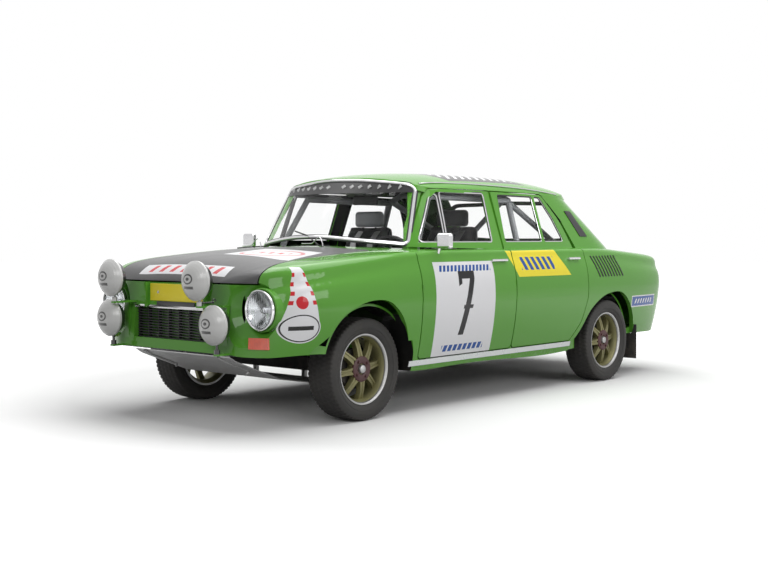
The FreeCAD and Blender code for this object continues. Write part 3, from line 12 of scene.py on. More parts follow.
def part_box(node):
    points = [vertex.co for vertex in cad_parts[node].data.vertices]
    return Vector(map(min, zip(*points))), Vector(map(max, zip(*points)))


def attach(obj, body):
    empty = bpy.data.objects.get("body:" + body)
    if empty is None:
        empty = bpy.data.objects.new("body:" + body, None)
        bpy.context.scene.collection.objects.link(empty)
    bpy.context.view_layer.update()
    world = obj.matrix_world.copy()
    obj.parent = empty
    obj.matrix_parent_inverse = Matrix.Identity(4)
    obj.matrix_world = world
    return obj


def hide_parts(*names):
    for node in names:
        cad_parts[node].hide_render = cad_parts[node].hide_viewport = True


bl_info = {
    "name": "Rally Car Dressing",
    "version": (1, 0, 0),
    "blender": (4, 5, 0),
    "location": "3D Viewport > Sidebar > Rally Car",
    "description": "Adds finishes, trim, cabin, tyres and stage to the packed rally car",
    "category": "Object",
}

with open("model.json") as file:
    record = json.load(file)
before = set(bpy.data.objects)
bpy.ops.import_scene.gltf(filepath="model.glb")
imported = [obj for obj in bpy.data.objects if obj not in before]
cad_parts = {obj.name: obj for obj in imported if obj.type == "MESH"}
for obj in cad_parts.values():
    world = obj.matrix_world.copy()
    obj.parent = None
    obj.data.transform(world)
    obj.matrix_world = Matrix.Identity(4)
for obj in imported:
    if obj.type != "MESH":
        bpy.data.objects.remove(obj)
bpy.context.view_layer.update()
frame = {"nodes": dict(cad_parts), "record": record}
nodes = frame["nodes"]
FRONT_AXLE = -1.2
SIDES = (("left", 1), ("right", -1))
ENDS = ("front", "rear")
LEFT = Vector((1, 0, 0))
BACK = Vector((0, 1, 0))
UP = Vector((0, 0, 1))
COLOUR = {"subtype": "COLOR", "size": 3}
LENGTH = {"unit": "LENGTH"}


# Sizes and colours that a user would change
class CarColours(bpy.types.PropertyGroup):
    """Colours of the paint, the bands and the wheels."""

    paint: FloatVectorProperty(
        name="Paint", description="Green of the body", default=(0.105, 0.345, 0.036), **COLOUR)
    bonnet: FloatVectorProperty(
        name="Bonnet", description="Satin black of the lids and the roof",
        default=(0.030, 0.030, 0.031), **COLOUR)
    panel: FloatVectorProperty(
        name="Panel", description="White of the number panels", default=(0.80, 0.80, 0.82), **COLOUR)
    patch: FloatVectorProperty(
        name="Patch", description="Yellow of the patches and the front plate",
        default=(0.88, 0.74, 0.03), **COLOUR)
    accent: FloatVectorProperty(
        name="Accent", description="Blue of the bands", default=(0.02, 0.085, 0.34), **COLOUR)
    flash: FloatVectorProperty(
        name="Flash", description="Red of the nose pattern", default=(0.62, 0.02, 0.03), **COLOUR)
    wheel: FloatVectorProperty(
        name="Wheel", description="Olive gold of the spokes", default=(0.175, 0.165, 0.070), **COLOUR)
    hub: FloatVectorProperty(
        name="Hub", description="Dark red of the hub ring", default=(0.050, 0.012, 0.013), **COLOUR)


class CarSizes(bpy.types.PropertyGroup):
    """Sizes of the tread, the trim and the plates."""

    tread_depth: FloatProperty(
        name="Tread Depth", description="Depth of the tyre grooves",
        default=0.006, min=0.001, max=0.012, **LENGTH)
    tread_blocks: IntProperty(
        name="Tread Blocks", description="Blocks round each tyre", default=66, min=24, max=90)
    surround_width: FloatProperty(
        name="Screen Surround", description="Width of the screens' bright surround", default=0.020, **LENGTH)
    pane_frame_width: FloatProperty(
        name="Pane Frame", description="Width of the bright frame of the side panes", default=0.010, **LENGTH)
    plate_width: FloatProperty(
        name="Plate Width", description="Width of the front plate", default=0.434, **LENGTH)
    plate_height: FloatProperty(
        name="Plate Height", description="Height of the front plate", default=0.092, **LENGTH)


class StageSettings(bpy.types.PropertyGroup):
    """Light and lens of the picture."""

    floor_tone: FloatProperty(
        name="Floor Tone", description="Grey level of the floor", default=0.90, min=0, max=1)
    sky_light: FloatProperty(
        name="Sky Light", description="Strength of the soft light from all sides", default=0.24, min=0)
    top_light: FloatProperty(
        name="Top Light", description="Power of the wide lamp overhead", default=360, min=0, unit="POWER")
    lens: FloatProperty(
        name="Lens", description="Focal length in millimetres", default=54.64, min=10)


# Mesh making
CREASE = 38.0
SOFT_CREASE = 60
LEAST_RADIUS = 0.0002
NEARLY_UPRIGHT = 0.9
WELD_DISTANCE = 1e-5
BORDER_STEP = 0.012
LEAST_BORDER_POINTS = 8
SCREEN_FACING = (0.8, 0.6)
# Shares of a bolt's height and of its radius
BOLT_WASHER = ((0, 0.0), (0, 1.35), (0.25, 1.3), (0.3, 0.0))
BOLT_HEAD = ((0, 1), (0.8, 1), (1, 0.8), (1, 0.0))
finishes = {}


def at(x, run, z):
    """Point in the row frame from its distance behind the front axle."""
    return Vector((x, FRONT_AXLE + run, z))


def mixed(start, end, share):
    """Values between two rows of values."""
    return [a + (b - a) * share for a, b in zip(start, end)]


def turned_to(angle, radius=1.0, x=0.0):
    """Point on a wheel's circle, around the axis across the car."""
    return Vector((x, math.cos(angle) * radius, math.sin(angle) * radius))


def linked(name, data):
    """Object of some data in the scene."""
    made = bpy.data.objects.new(name, data)
    bpy.context.scene.collection.objects.link(made)
    return made


def piece(name, mesh_data, finish, slot=None, body="body", crease=CREASE):
    """Object from a bmesh, shaded smooth up to a crease angle, riding on a body."""
    bmesh.ops.recalc_face_normals(mesh_data, faces=mesh_data.faces)
    mesh = bpy.data.meshes.new(name)
    mesh_data.to_mesh(mesh)
    mesh_data.free()
    mesh.shade_smooth()
    mesh.set_sharp_from_angle(angle=math.radians(crease))
    made = linked(name, mesh)
    mesh.materials.append(finishes[finish])
    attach(made, body)
    return made


def skin(mesh_data, rings, loop=False, ring_loop=True, ends=False):
    """Quads between rings of points."""
    rows = [[mesh_data.verts.new(point) for point in ring] for ring in rings]
    pairs = list(zip(rows, rows[1:]))
    if loop:
        pairs.append((rows[-1], rows[0]))
    count = len(rows[0])
    for low, high in pairs:
        for index in range(count if ring_loop else count - 1):
            after = (index + 1) % count
            mesh_data.faces.new((low[index], low[after], high[after], high[index]))
    if ends:
        mesh_data.faces.new(rows[0][::-1])
        mesh_data.faces.new(rows[-1])


def side_axes(axis):
    """Two directions square to an axis and to each other."""
    helper = UP if abs(axis.z) < NEARLY_UPRIGHT else BACK
    across = axis.cross(helper).normalized()
    return across, axis.cross(across).normalized()


def lathe(mesh_data, centre, axis, profile, steps=64, closed=True):
    """Solid turned from (distance along the axis, radius) pairs."""
    across, other = side_axes(axis)
    rings = []
    for index in range(steps):
        angle = math.tau * index / steps
        out = across * math.cos(angle) + other * math.sin(angle)
        rings.append([centre + axis * reach + out * max(radius, LEAST_RADIUS) for reach, radius in profile])
    skin(mesh_data, rings, loop=True, ring_loop=closed)


def direction(points, index, loop):
    """Direction of a line of points at one of them."""
    count = len(points)
    before = points[index - 1] if index or loop else points[index]
    after = points[(index + 1) % count] if index < count - 1 or loop else points[index]
    return (after - before).normalized()


def pipe(mesh_data, points, radius, sides=10, loop=False):
    """Round bar through points."""
    radii = radius if isinstance(radius, list) else [radius] * len(points)
    up = side_axes(direction(points, 0, loop))[0]
    turns = [math.tau * k / sides for k in range(sides)]
    rings = []
    for index, point in enumerate(points):
        ahead = direction(points, index, loop)
        up = (up - ahead * up.dot(ahead)).normalized()
        side = ahead.cross(up)
        rings.append([point + (up * math.cos(a) + side * math.sin(a)) * radii[index] for a in turns])
    skin(mesh_data, rings, loop=loop, ends=not loop)


def curved(points, steps=8):
    """Smooth line through points."""
    out = []
    for index in range(len(points) - 1):
        a = points[max(index - 1, 0)]
        b, c = points[index], points[index + 1]
        d = points[min(index + 2, len(points) - 1)]
        for step in range(steps):
            t = step / steps
            out.append(0.5 * ((2 * b) + (c - a) * t + (2 * a - 5 * b + 4 * c - d) * t * t
                              + (3 * b - a - 3 * c + d) * t * t * t))
    out.append(points[-1])
    return out


def strip(mesh_data, loop, section, closed=True):
    """Strip of one cross-section along (point, normal) pairs."""
    points = [point for point, _ in loop]
    rings = []
    for index, (point, normal) in enumerate(loop):
        side = direction(points, index, closed).cross(normal).normalized()
        rings.append([point + side * across + normal * out for across, out in section])
    skin(mesh_data, rings, loop=closed, ends=not closed)


def rounded_box(mesh_data, centre, size, radius, segments=3):
    """Box with rounded edges."""
    made = bmesh.ops.create_cube(mesh_data, size=1.0)["verts"]
    for vert in made:
        vert.co = centre + Vector([part * length for part, length in zip(vert.co, size)])
    edges = list({edge for vert in made for edge in vert.link_edges})
    bmesh.ops.bevel(mesh_data, geom=edges, offset=radius, segments=segments, profile=0.5, affect="EDGES")


def bolt(mesh_data, centre, axis, radius, height):
    """Six-sided head with a chamfer, on a washer."""
    for section, steps in ((BOLT_WASHER, 20), (BOLT_HEAD, 6)):
        profile = [(height * rise, radius * share) for rise, share in section]
        lathe(mesh_data, centre, axis, profile, steps, closed=False)


def skinned_piece(name, rings, finish, loop=False, ends=False, **kind):
    """Piece of quads between rings of points."""
    mesh_data = bmesh.new()
    skin(mesh_data, rings, loop=loop, ends=ends)
    return piece(name, mesh_data, finish, **kind)


def turned_piece(name, centre, axis, profile, steps, finish, closed=True, **kind):
    """Piece turned from one profile."""
    mesh_data = bmesh.new()
    lathe(mesh_data, centre, axis, profile, steps, closed)
    return piece(name, mesh_data, finish, **kind)


def box_piece(name, centre, size, radius, finish, segments=3, **kind):
    """Piece that is one rounded box."""
    mesh_data = bmesh.new()
    rounded_box(mesh_data, centre, size, radius, segments)
    return piece(name, mesh_data, finish, **kind)


# Reading the frame
def tree_of(*names):
    """Search tree over the faces of some nodes."""
    verts = []
    faces = []
    for name in names:
        mesh = nodes[name].data
        base = len(verts)
        verts += [vert.co.copy() for vert in mesh.vertices]
        faces += [[base + index for index in face.vertices] for face in mesh.polygons]
    return BVHTree.FromPolygons(verts, faces)


def seen_from(tree, origin, direction):
    """First point of a search tree along a ray, with its outward normal."""
    place, normal, _, _ = tree.ray_cast(origin, direction.normalized())
    if place is None:
        raise RuntimeError("nothing is met from %s" % origin)
    return place, (normal if normal.dot(direction) < 0 else -normal)


def outward_faces(mesh_data, facing, least):
    """Faces that look the way that a function gives for their middle."""
    return {face for face in mesh_data.faces if face.normal.dot(facing(face.calc_center_median())) > least}


def welded(node):
    """Bmesh of a node with its doubled points joined."""
    mesh_data = bmesh.new()
    mesh_data.from_mesh(nodes[node].data)
    bmesh.ops.remove_doubles(mesh_data, verts=mesh_data.verts, dist=WELD_DISTANCE)
    mesh_data.normal_update()
    return mesh_data


def borders(node, facing, least, shortest):
    """Closed borders of a node's outward faces, as lists of (point, normal)."""
    mesh_data = welded(node)
    chosen = outward_faces(mesh_data, facing, least)
    links = {}
    for edge in mesh_data.edges:
        if sum(face in chosen for face in edge.link_faces) == 1:
            a, b = edge.verts
            links.setdefault(a, []).append(b)
            links.setdefault(b, []).append(a)
    loops = []
    left = set(links)
    while left:
        here = left.pop()
        loop = [here]
        while True:
            onward = [vert for vert in links[here] if vert in left]
            if not onward:
                break
            here = onward[0]
            left.discard(here)
            loop.append(here)
        points = []
        for vert in loop:
            near = [face.normal for face in vert.link_faces if face in chosen]
            points.append((vert.co.copy(), sum(near, Vector()).normalized()))
        length = sum((a[0] - b[0]).length for a, b in zip(points, points[1:] + points[:1]))
        if length > shortest:
            loops.append(even(points, BORDER_STEP))
    mesh_data.free()
    return loops


def even(points, step):
    """Closed (point, normal) loop resampled at equal steps."""
    ring = points + points[:1]
    runs = [0.0]
    for before, after in zip(ring, ring[1:]):
        runs.append(runs[-1] + (after[0] - before[0]).length)
    count = max(int(runs[-1] / step), LEAST_BORDER_POINTS)
    out = []
    index = 0
    for number in range(count):
        target = runs[-1] * number / count
        while runs[index + 1] < target:
            index += 1
        share = (target - runs[index]) / max(runs[index + 1] - runs[index], 1e-9)
        point = ring[index][0].lerp(ring[index + 1][0], share)
        out.append((point, ring[index][1].lerp(ring[index + 1][1], share).normalized()))
    return out


def sideways(point):
    """Outward direction of the car's flank at a point."""
    return Vector((math.copysign(1.0, point.x), 0, 0))


def endways(point):
    """Outward direction of the screens at a point."""
    ahead, up = SCREEN_FACING
    return Vector((0, math.copysign(ahead, point.y), up))


def windscreen_top():
    """Height of the windscreen's upper edge."""
    return max(vert.co.z for vert in nodes["fixed_glass"].data.vertices if vert.co.y < 0)


# Shader effects shared by materials
GRAIN_DETAIL = 4.0
MOTTLE_SHARE = 0.02
MOTTLE_RANGE = (0.35, 0.7)
MOTTLE_LIFT = 0.01
MOTTLE_ROUGHENING = 0.12
DUST_DEPTH = 0.25
DUST_SPOTS = {"scale": 14.0, "detail": 6.0, "roughness": 0.7}
DUST_RANGE = (0.35, 0.75)
DUST_COLOUR = (0.20, 0.17, 0.13)
DUST_ROUGHNESS = 0.75


def feed(tree, value, socket):
    """Puts a link or a constant into a socket."""
    if isinstance(value, bpy.types.NodeSocket):
        tree.links.new(value, socket)
    else:
        socket.default_value = value


def math_node(tree, operation, *values):
    """Math node with numbers or links as its inputs."""
    node = tree.nodes.new("ShaderNodeMath")
    node.operation = operation
    for value, socket in zip(values, node.inputs):
        feed(tree, value, socket)
    return node.outputs[0]


def noise_node(tree, scale, detail=3.0, vector=None, roughness=0.5):
    """Noise over the object's own coordinates."""
    node = tree.nodes.new("ShaderNodeTexNoise")
    node.inputs["Detail"].default_value = detail
    node.inputs["Roughness"].default_value = roughness
    feed(tree, scale, node.inputs["Scale"])
    vector = vector or tree.nodes.new("ShaderNodeTexCoord").outputs["Object"]
    tree.links.new(vector, node.inputs["Vector"])
    return node.outputs["Fac"]


def ramp_node(tree, value, low, high, out_low=0.0, out_high=1.0):
    """Value spread from one range to another, held at its ends."""
    node = tree.nodes.new("ShaderNodeMapRange")
    for name, number in (("From Min", low), ("From Max", high), ("To Min", out_low), ("To Max", out_high)):
        node.inputs[name].default_value = number
    tree.links.new(value, node.inputs["Value"])
    return node.outputs["Result"]


def new_group(name, labels, outputs):
    """Empty node group with number sockets, and its two ends."""
    group = bpy.data.node_groups.new(name, "ShaderNodeTree")
    for way, names in (("INPUT", labels), ("OUTPUT", outputs)):
        for label in names:
            group.interface.new_socket(name=label, in_out=way, socket_type="NodeSocketFloat")
    return group, group.nodes.new("NodeGroupInput").outputs, group.nodes.new("NodeGroupOutput").inputs


def grain_group():
    """Fine surface grain with a broad mottle."""
    group, enter, leave = new_group("Surface Grain", ["Scale"], ["Height", "Mottle"])
    group.links.new(noise_node(group, enter["Scale"], GRAIN_DETAIL), leave["Height"])
    broad = math_node(group, "MULTIPLY", enter["Scale"], MOTTLE_SHARE)
    group.links.new(noise_node(group, broad), leave["Mottle"])
    return group


def dust_group():
    """Road dust that thickens towards the ground."""
    group, enter, leave = new_group("Road Dust", ["Top", "Amount"], ["Mask"])
    place = group.nodes.new("ShaderNodeTexCoord").outputs["Object"]
    parts = group.nodes.new("ShaderNodeSeparateXYZ")
    group.links.new(place, parts.inputs[0])
    drop = math_node(group, "SUBTRACT", enter["Top"], parts.outputs["Z"])
    fall = ramp_node(group, drop, 0.0, DUST_DEPTH)
    spots = ramp_node(group, noise_node(group, vector=place, **DUST_SPOTS), *DUST_RANGE)
    mask = math_node(group, "MULTIPLY", math_node(group, "MULTIPLY", fall, spots), enter["Amount"])
    group.links.new(mask, leave["Mask"])
    return group


def edge_group():
    """One where a point lies on the left of a straight edge: A + B u + C v above zero."""
    group, enter, leave = new_group("Straight Edge", "UVABC", ["Side"])
    first = math_node(group, "MULTIPLY_ADD", enter["U"], enter["B"], enter["A"])
    second = math_node(group, "MULTIPLY_ADD", enter["V"], enter["C"], first)
    group.links.new(math_node(group, "GREATER_THAN", second, 0.0), leave["Side"])
    return group


def oval_group():
    """One inside an oval."""
    names = ("U", "V", "Middle U", "Middle V", "Half U", "Half V")
    group, enter, leave = new_group("Oval Mask", names, ["Inside"])
    total = 0.0
    for axis in ("U", "V"):
        gap = math_node(group, "SUBTRACT", enter[axis], enter["Middle " + axis])
        share = math_node(group, "DIVIDE", gap, enter["Half " + axis])
        total = math_node(group, "ADD", math_node(group, "MULTIPLY", share, share), total)
    group.links.new(math_node(group, "LESS_THAN", total, 1.0), leave["Inside"])
    return group


def box_group():
    """One inside an upright box."""
    names = ("U", "V", "Low U", "High U", "Low V", "High V")
    group, enter, leave = new_group("Box Mask", names, ["Inside"])
    inside = 1.0
    for axis in ("U", "V"):
        for operation, limit in (("GREATER_THAN", "Low "), ("LESS_THAN", "High ")):
            held = math_node(group, operation, enter[axis], enter[limit + axis])
            inside = math_node(group, "MULTIPLY", held, inside)
    group.links.new(inside, leave["Inside"])
    return group


GROUP_MAKERS = {"Surface Grain": grain_group, "Road Dust": dust_group, "Straight Edge": edge_group,
                "Oval Mask": oval_group, "Box Mask": box_group}


class Finish:
    """A material under construction, with its shader and the object's coordinates."""

    def __init__(self, name, colour, rough, metal=0.0, **sockets):
        self.material = bpy.data.materials.new(name)
        self.material.use_nodes = True
        self.tree = self.material.node_tree
        self.shader = self.tree.nodes["Principled BSDF"]
        place = self.tree.nodes.new("ShaderNodeTexCoord")
        self.place = place.outputs["Object"]
        self.x, self.y, self.z = self.split(self.place)
        self.normal = self.split(place.outputs["Normal"])
        self.wide = self.math("ABSOLUTE", self.x)
        self.colour = (*colour, 1.0)
        self.rough = rough
        self.shader.inputs["Base Color"].default_value = self.colour
        self.shader.inputs["Roughness"].default_value = rough
        self.shader.inputs["Metallic"].default_value = metal
        for label, value in sockets.items():
            self.shader.inputs[label.replace("_", " ")].default_value = value

    def split(self, vector):
        """The three parts of a vector."""
        node = self.tree.nodes.new("ShaderNodeSeparateXYZ")
        self.tree.links.new(vector, node.inputs[0])
        return node.outputs

    def math(self, operation, *values):
        """Math node in this material."""
        return math_node(self.tree, operation, *values)

    def above(self, value, limit):
        """Mask where a value is above a limit."""
        return self.math("GREATER_THAN", value, limit)

    def below(self, value, limit):
        """Mask where a value is below a limit."""
        return self.math("LESS_THAN", value, limit)

    def without(self, mask):
        """Mask where another doesn't hold."""
        return self.math("SUBTRACT", 1.0, mask)

    def both(self, *masks):
        """Mask where all masks hold."""
        whole = masks[0]
        for mask in masks[1:]:
            whole = self.math("MULTIPLY", mask, whole)
        return whole

    def either(self, *masks):
        """Mask where any mask holds."""
        whole = masks[0]
        for mask in masks[1:]:
            whole = self.math("MAXIMUM", mask, whole)
        return whole

    def mask(self, name, output, *values):
        """Output of a shared group placed in this material."""
        node = self.tree.nodes.new("ShaderNodeGroup")
        node.node_tree = bpy.data.node_groups.get(name) or GROUP_MAKERS[name]()
        for value, socket in zip(values, node.inputs):
            feed(self.tree, value, socket)
        return node.outputs[output]

    def box(self, u, v, low_u, high_u, low_v, high_v):
        """Mask of an upright box."""
        return self.mask("Box Mask", "Inside", u, v, low_u, high_u, low_v, high_v)

    def oval(self, u, v, middle_u, middle_v, half_u, half_v):
        """Mask of an oval."""
        return self.mask("Oval Mask", "Inside", u, v, middle_u, middle_v, half_u, half_v)

    def outline(self, u, v, corners):
        """Mask of a convex outline, its corners given anticlockwise in u and v."""
        sides = []
        for (au, av), (bu, bv) in zip(corners, corners[1:] + corners[:1]):
            rise = bv - av
            across = bu - au
            sides.append(self.mask("Straight Edge", "Side", u, v, au * rise - av * across, -rise, across))
        return self.both(*sides)

    def cycle(self, value, length):
        """Value that climbs from zero to one over each length."""
        return self.math("FRACT", self.math("DIVIDE", value, length))

    def bars(self, value, length, width):
        """Mask of bars that take a share of each length."""
        return self.below(self.cycle(value, length), width)

    def paint(self, mask, colour):
        """Lays another colour where a mask holds."""
        mix = self.tree.nodes.new("ShaderNodeMix")
        mix.data_type = "RGBA"
        self.tree.links.new(mask, mix.inputs["Factor"])
        feed(self.tree, self.colour, mix.inputs[6])
        mix.inputs[7].default_value = (*colour, 1.0)
        self.colour = mix.outputs[2]
        self.tree.links.new(self.colour, self.shader.inputs["Base Color"])

    def roughen(self, mask, rough):
        """Changes the roughness where a mask holds."""
        gap = self.math("SUBTRACT", rough, self.rough)
        self.rough = self.math("MULTIPLY_ADD", mask, gap, self.rough)
        self.tree.links.new(self.rough, self.shader.inputs["Roughness"])

    def bump(self, height, distance, strength=1.0):
        """Raises the surface by a height value."""
        node = self.tree.nodes.new("ShaderNodeBump")
        node.inputs["Distance"].default_value = distance
        node.inputs["Strength"].default_value = strength
        self.tree.links.new(height, node.inputs["Height"])
        self.tree.links.new(node.outputs["Normal"], self.shader.inputs["Normal"])

    def ribs(self, value, length, distance, strength):
        """Straight ribs, one to each length."""
        ridge = self.math("SUBTRACT", self.cycle(value, length), 0.5)
        self.bump(self.math("ABSOLUTE", ridge), distance, strength)

    def fine(self, scale):
        """Height of the shared fine grain."""
        return self.mask("Surface Grain", "Height", float(scale))

    def mottle(self, scale, detail, low, high, roughness=0.5, **ends):
        """Soft cloudy mask."""
        noise = noise_node(self.tree, scale, detail, self.place, roughness)
        return ramp_node(self.tree, noise, low, high, **ends)

    def grain(self, scale, depth, shade):
        """Fine grain in bump, tone and roughness, laid before other paint."""
        self.bump(self.fine(scale), depth)
        mottle = ramp_node(self.tree, self.mask("Surface Grain", "Mottle", float(scale)), *MOTTLE_RANGE)
        lift = MOTTLE_LIFT * shade
        self.paint(mottle, [min(1.0, part * (1 + shade) + lift) for part in self.colour[:3]])
        self.roughen(mottle, self.rough + MOTTLE_ROUGHENING)

    def dust(self, top, amount):
        """Road dust near the ground."""
        mask = self.mask("Road Dust", "Mask", top, amount)
        self.paint(mask, DUST_COLOUR)
        self.roughen(mask, DUST_ROUGHNESS)


# Places of the patterns. Boxes are low and high along the car, then low and high upwards, or on the roof
# and the bonnet across and along. Ovals are a middle and half sizes, rows of marks what side_row takes
NUMBER_PANEL = (-0.708, -0.150, 0.296, 0.840)
NUMBER_MIDDLE = -0.428
SEVEN = ([(-0.072, 0.742), (0.078, 0.742), (0.078, 0.786), (-0.072, 0.786)],
         [(-0.062, 0.419), (-0.012, 0.419), (0.078, 0.742), (0.032, 0.742)],
         [(-0.072, 0.700), (-0.040, 0.715), (-0.040, 0.745), (-0.072, 0.745)],
         [(-0.030, 0.570), (0.058, 0.570), (0.064, 0.592), (-0.024, 0.592)])
UPPER_MARKS = (0.785, 0.820, (-0.235, 0.245), 0.034, 0.62, 0.35)
LOWER_MARKS = (0.330, 0.366, (-0.195, 0.195), 0.046, 0.70, 0.35)
DOOR_PATCH = [(0.109, 0.738), (0.703, 0.736), (0.557, 0.899), (0.012, 0.897)]
PATCH_MARKS = (0.778, 0.858, (0.150, 0.520), 0.062, 0.58, -0.55)
TAIL_BAND = (1.515, 1.883, 0.488, 0.569)
TAIL_BAND_INSIDE = (1.523, 1.875, 0.496, 0.561)
TAIL_MARKS = (0.513, 0.545, (1.56, 1.83), 0.040, 0.45, 0.5)
CABIN_SPACE = (-0.95, 1.10, 0.26, 1.36)
ROOF_LINING = (-0.95, 1.3, 0.95, 1.375)
CABIN_FLOOR = (-0.90, 1.05, 0.24, 0.70)
CABIN_HALF_WIDTH = 0.69
WELL_HEIGHT, WELL_RADIUS, WELL_WIDTH = 0.277, 0.372, 0.775
UNDERSIDE_HEIGHT = 0.40
FLANK_START = 0.60
BADGE_TAPER = [(-1.813, 0.530), (-1.611, 0.530), (-1.674, 0.830), (-1.717, 0.830)]
BADGE_MIDDLE = [(-1.785, 0.530), (-1.640, 0.530), (-1.683, 0.830), (-1.708, 0.830)]
BADGE_BARS = (-1.85, -1.55, 0.640, 0.815)
BADGE_BAR = (0.046, 0.45)
BADGE_DOT = (-1.712, 0.655, 0.030, 0.032)
BADGE_DASH = (-1.775, -1.649, 0.517, 0.538)
BADGE_OVAL_MIDDLE = (-1.712, 0.527)
BADGE_OVALS = ((0.105, 0.075), (0.099, 0.069), (0.092, 0.063))
ROOF_HEIGHT = 1.29
ROOF_PATCH = (-0.50, 0.50, -0.20, 0.62)
ROOF_BARS = (0.20, 0.44, -0.14, 0.56)
ROOF_BAR = (0.075, 0.40)
BONNET_STRIP = (-0.37, 0.335, -1.850, -1.778)
BONNET_STRIP_BARS = (-0.31, 0.28, -1.838, -1.790)
BONNET_PATCH = [(-0.08, -1.492), (0.545, -1.600), (0.443, -1.240), (-0.08, -1.170)]
BONNET_RING = (0.20, -1.390, 0.23, 0.120)
BONNET_HOLE = (0.20, -1.390, 0.205, 0.098)
BONNET_MARKS = (0.06, 0.34, -1.420, -1.360)
# Slant of the bars, then their spacing and share
BONNET_STRIP_BAR = (-0.5, 0.088, 0.40)
BONNET_MARK_BAR = (0.4, 0.075, 0.45)
# Lamp covers: distance from the middle and height, then the motif's parts around that point
COVER_LAMPS = ((0.350, 0.763), (0.426, 0.543))
MOTIF_RISE = 0.010
MOTIF_OVALS = ((0.034, 0.026), (0.026, 0.018), (0.012, 0.008))
MOTIF_BAR = (-0.034, 0.034, -0.040, -0.026)
COVER_DEPTH = 0.11
# Turns of a surface's normal from which it counts as facing a way
OUTWARD, DOWNWARD, ROOFWARD, LIDWARD, INSIDE_LID, BACKWARD = 0.25, -0.7, 0.6, 0.5, -0.3, 0.10
LINING_DOWNWARD = -0.5
# Tones and gloss
INK = (0.012, 0.012, 0.012)
NUMBER_INK = (0.012, 0.012, 0.014)
# Painted shade in the cabin: near black on its inward faces and floor, dark grey under the roof
PAINTED_CABIN_SHADE = (0.016, 0.016, 0.017)
PAINTED_ROOF_SHADE = (0.05, 0.05, 0.05)
WELL_SHADE = (0.010, 0.010, 0.010)
UNDER_SHADE = (0.014, 0.014, 0.014)
CABIN_ROUGHNESS, UNDER_ROUGHNESS, ROOF_ROUGHNESS = 0.6, 0.8, 0.40
BODY_GLOSS = {"Coat_Weight": 0.6, "Coat_Roughness": 0.03, "Coat_IOR": 1.4, "Specular_IOR_Level": 0.05}
LENS_GLOSS = {"Coat_Weight": 0.6, "Coat_Roughness": 0.05}
BODY_CLOUDS = (2.2, 4.0, 0.3, 0.7)
CLOUD_STRENGTH, CLOUD_SHADE = 0.35, 0.93
LENS_CLOUDS = (30.0, 3.0, 0.3, 0.7)


# Body colours with their patches and numbers
def outer_side(finish):
    """Masks of surfaces that look away from and towards the car's middle plane."""
    turn = finish.math("MULTIPLY", finish.normal["X"], finish.math("SIGN", finish.x))
    return finish.above(turn, OUTWARD), finish.below(turn, -OUTWARD)


def side_row(finish, u, low, high, ends, gap, width, slant):
    """Mask of a row of slanted bars between two heights."""
    lean = finish.math("MULTIPLY_ADD", finish.math("SUBTRACT", finish.z, low), -slant, u)
    return finish.both(finish.bars(lean, gap, width), finish.box(u, finish.z, *ends, low, high))


def slanted_bars(finish, slant, spacing, share):
    """Mask of bars across the car that lean along it."""
    return finish.bars(finish.math("MULTIPLY_ADD", finish.y, slant, finish.x), spacing, share)


def body_paint(colours):
    """Glossy green with number panels, patches, roof panel, painted shade in the cabin and dark underparts.
    """
    finish = Finish("Body Green", colours.paint, 0.25, **BODY_GLOSS)
    y, z = finish.y, finish.z
    clouds = finish.math("MULTIPLY", finish.mottle(*BODY_CLOUDS), CLOUD_STRENGTH)
    finish.paint(clouds, [part * CLOUD_SHADE for part in colours.paint])
    outer, inner = outer_side(finish)
    upward = finish.normal["Z"]
    flank = finish.both(outer, finish.above(finish.wide, FLANK_START))
    turned = finish.math("MULTIPLY", finish.math("SUBTRACT", y, NUMBER_MIDDLE), finish.math("SIGN", finish.x))
    panel = finish.box(y, z, *NUMBER_PANEL)
    seven = finish.either(*[finish.outline(turned, z, corners) for corners in SEVEN])
    rows = finish.either(side_row(finish, turned, *UPPER_MARKS), side_row(finish, turned, *LOWER_MARKS))
    for mask, colour in ((panel, colours.panel), (seven, NUMBER_INK),
                         (finish.both(panel, rows, finish.without(seven)), colours.accent),
                         (finish.outline(y, z, DOOR_PATCH), colours.patch),
                         (side_row(finish, y, *PATCH_MARKS), colours.accent),
                         (finish.box(y, z, *TAIL_BAND), colours.panel),
                         (finish.box(y, z, *TAIL_BAND_INSIDE), colours.accent),
                         (side_row(finish, y, *TAIL_MARKS), colours.panel)):
        finish.paint(finish.both(flank, mask), colour)
    nose_badge(finish, colours, flank)
    roof_panel(finish, colours, upward)
    # Painted shade in the cabin: inward faces, the roof's underside and the floor are darkened and made
    # rougher
    cabin = finish.both(inner, finish.box(y, z, *CABIN_SPACE))
    roof_shade_mask = finish.both(finish.below(upward, LINING_DOWNWARD), finish.box(y, z, *ROOF_LINING))
    cabin_floor_shade_mask = finish.both(finish.box(y, z, *CABIN_FLOOR), finish.below(finish.wide, CABIN_HALF_WIDTH))
    for mask, shade in ((cabin, PAINTED_CABIN_SHADE), (roof_shade_mask, PAINTED_ROOF_SHADE), (cabin_floor_shade_mask, PAINTED_CABIN_SHADE)):
        finish.paint(mask, shade)
    finish.roughen(finish.either(cabin_floor_shade_mask, cabin, roof_shade_mask), CABIN_ROUGHNESS)
    for middle in (FRONT_AXLE, -FRONT_AXLE):
        well = finish.both(finish.oval(y, z, middle, WELL_HEIGHT, WELL_RADIUS, WELL_RADIUS),
                           finish.below(finish.wide, WELL_WIDTH), finish.without(outer))
        finish.paint(well, WELL_SHADE)
        finish.roughen(well, UNDER_ROUGHNESS)
    under = finish.both(finish.below(upward, DOWNWARD), finish.below(z, UNDERSIDE_HEIGHT))
    finish.paint(under, UNDER_SHADE)
    finish.roughen(under, UNDER_ROUGHNESS)
    finish.dust(0.42, 0.16)
    finish.bump(finish.fine(140), 0.0002, 0.25)
    return finish.material


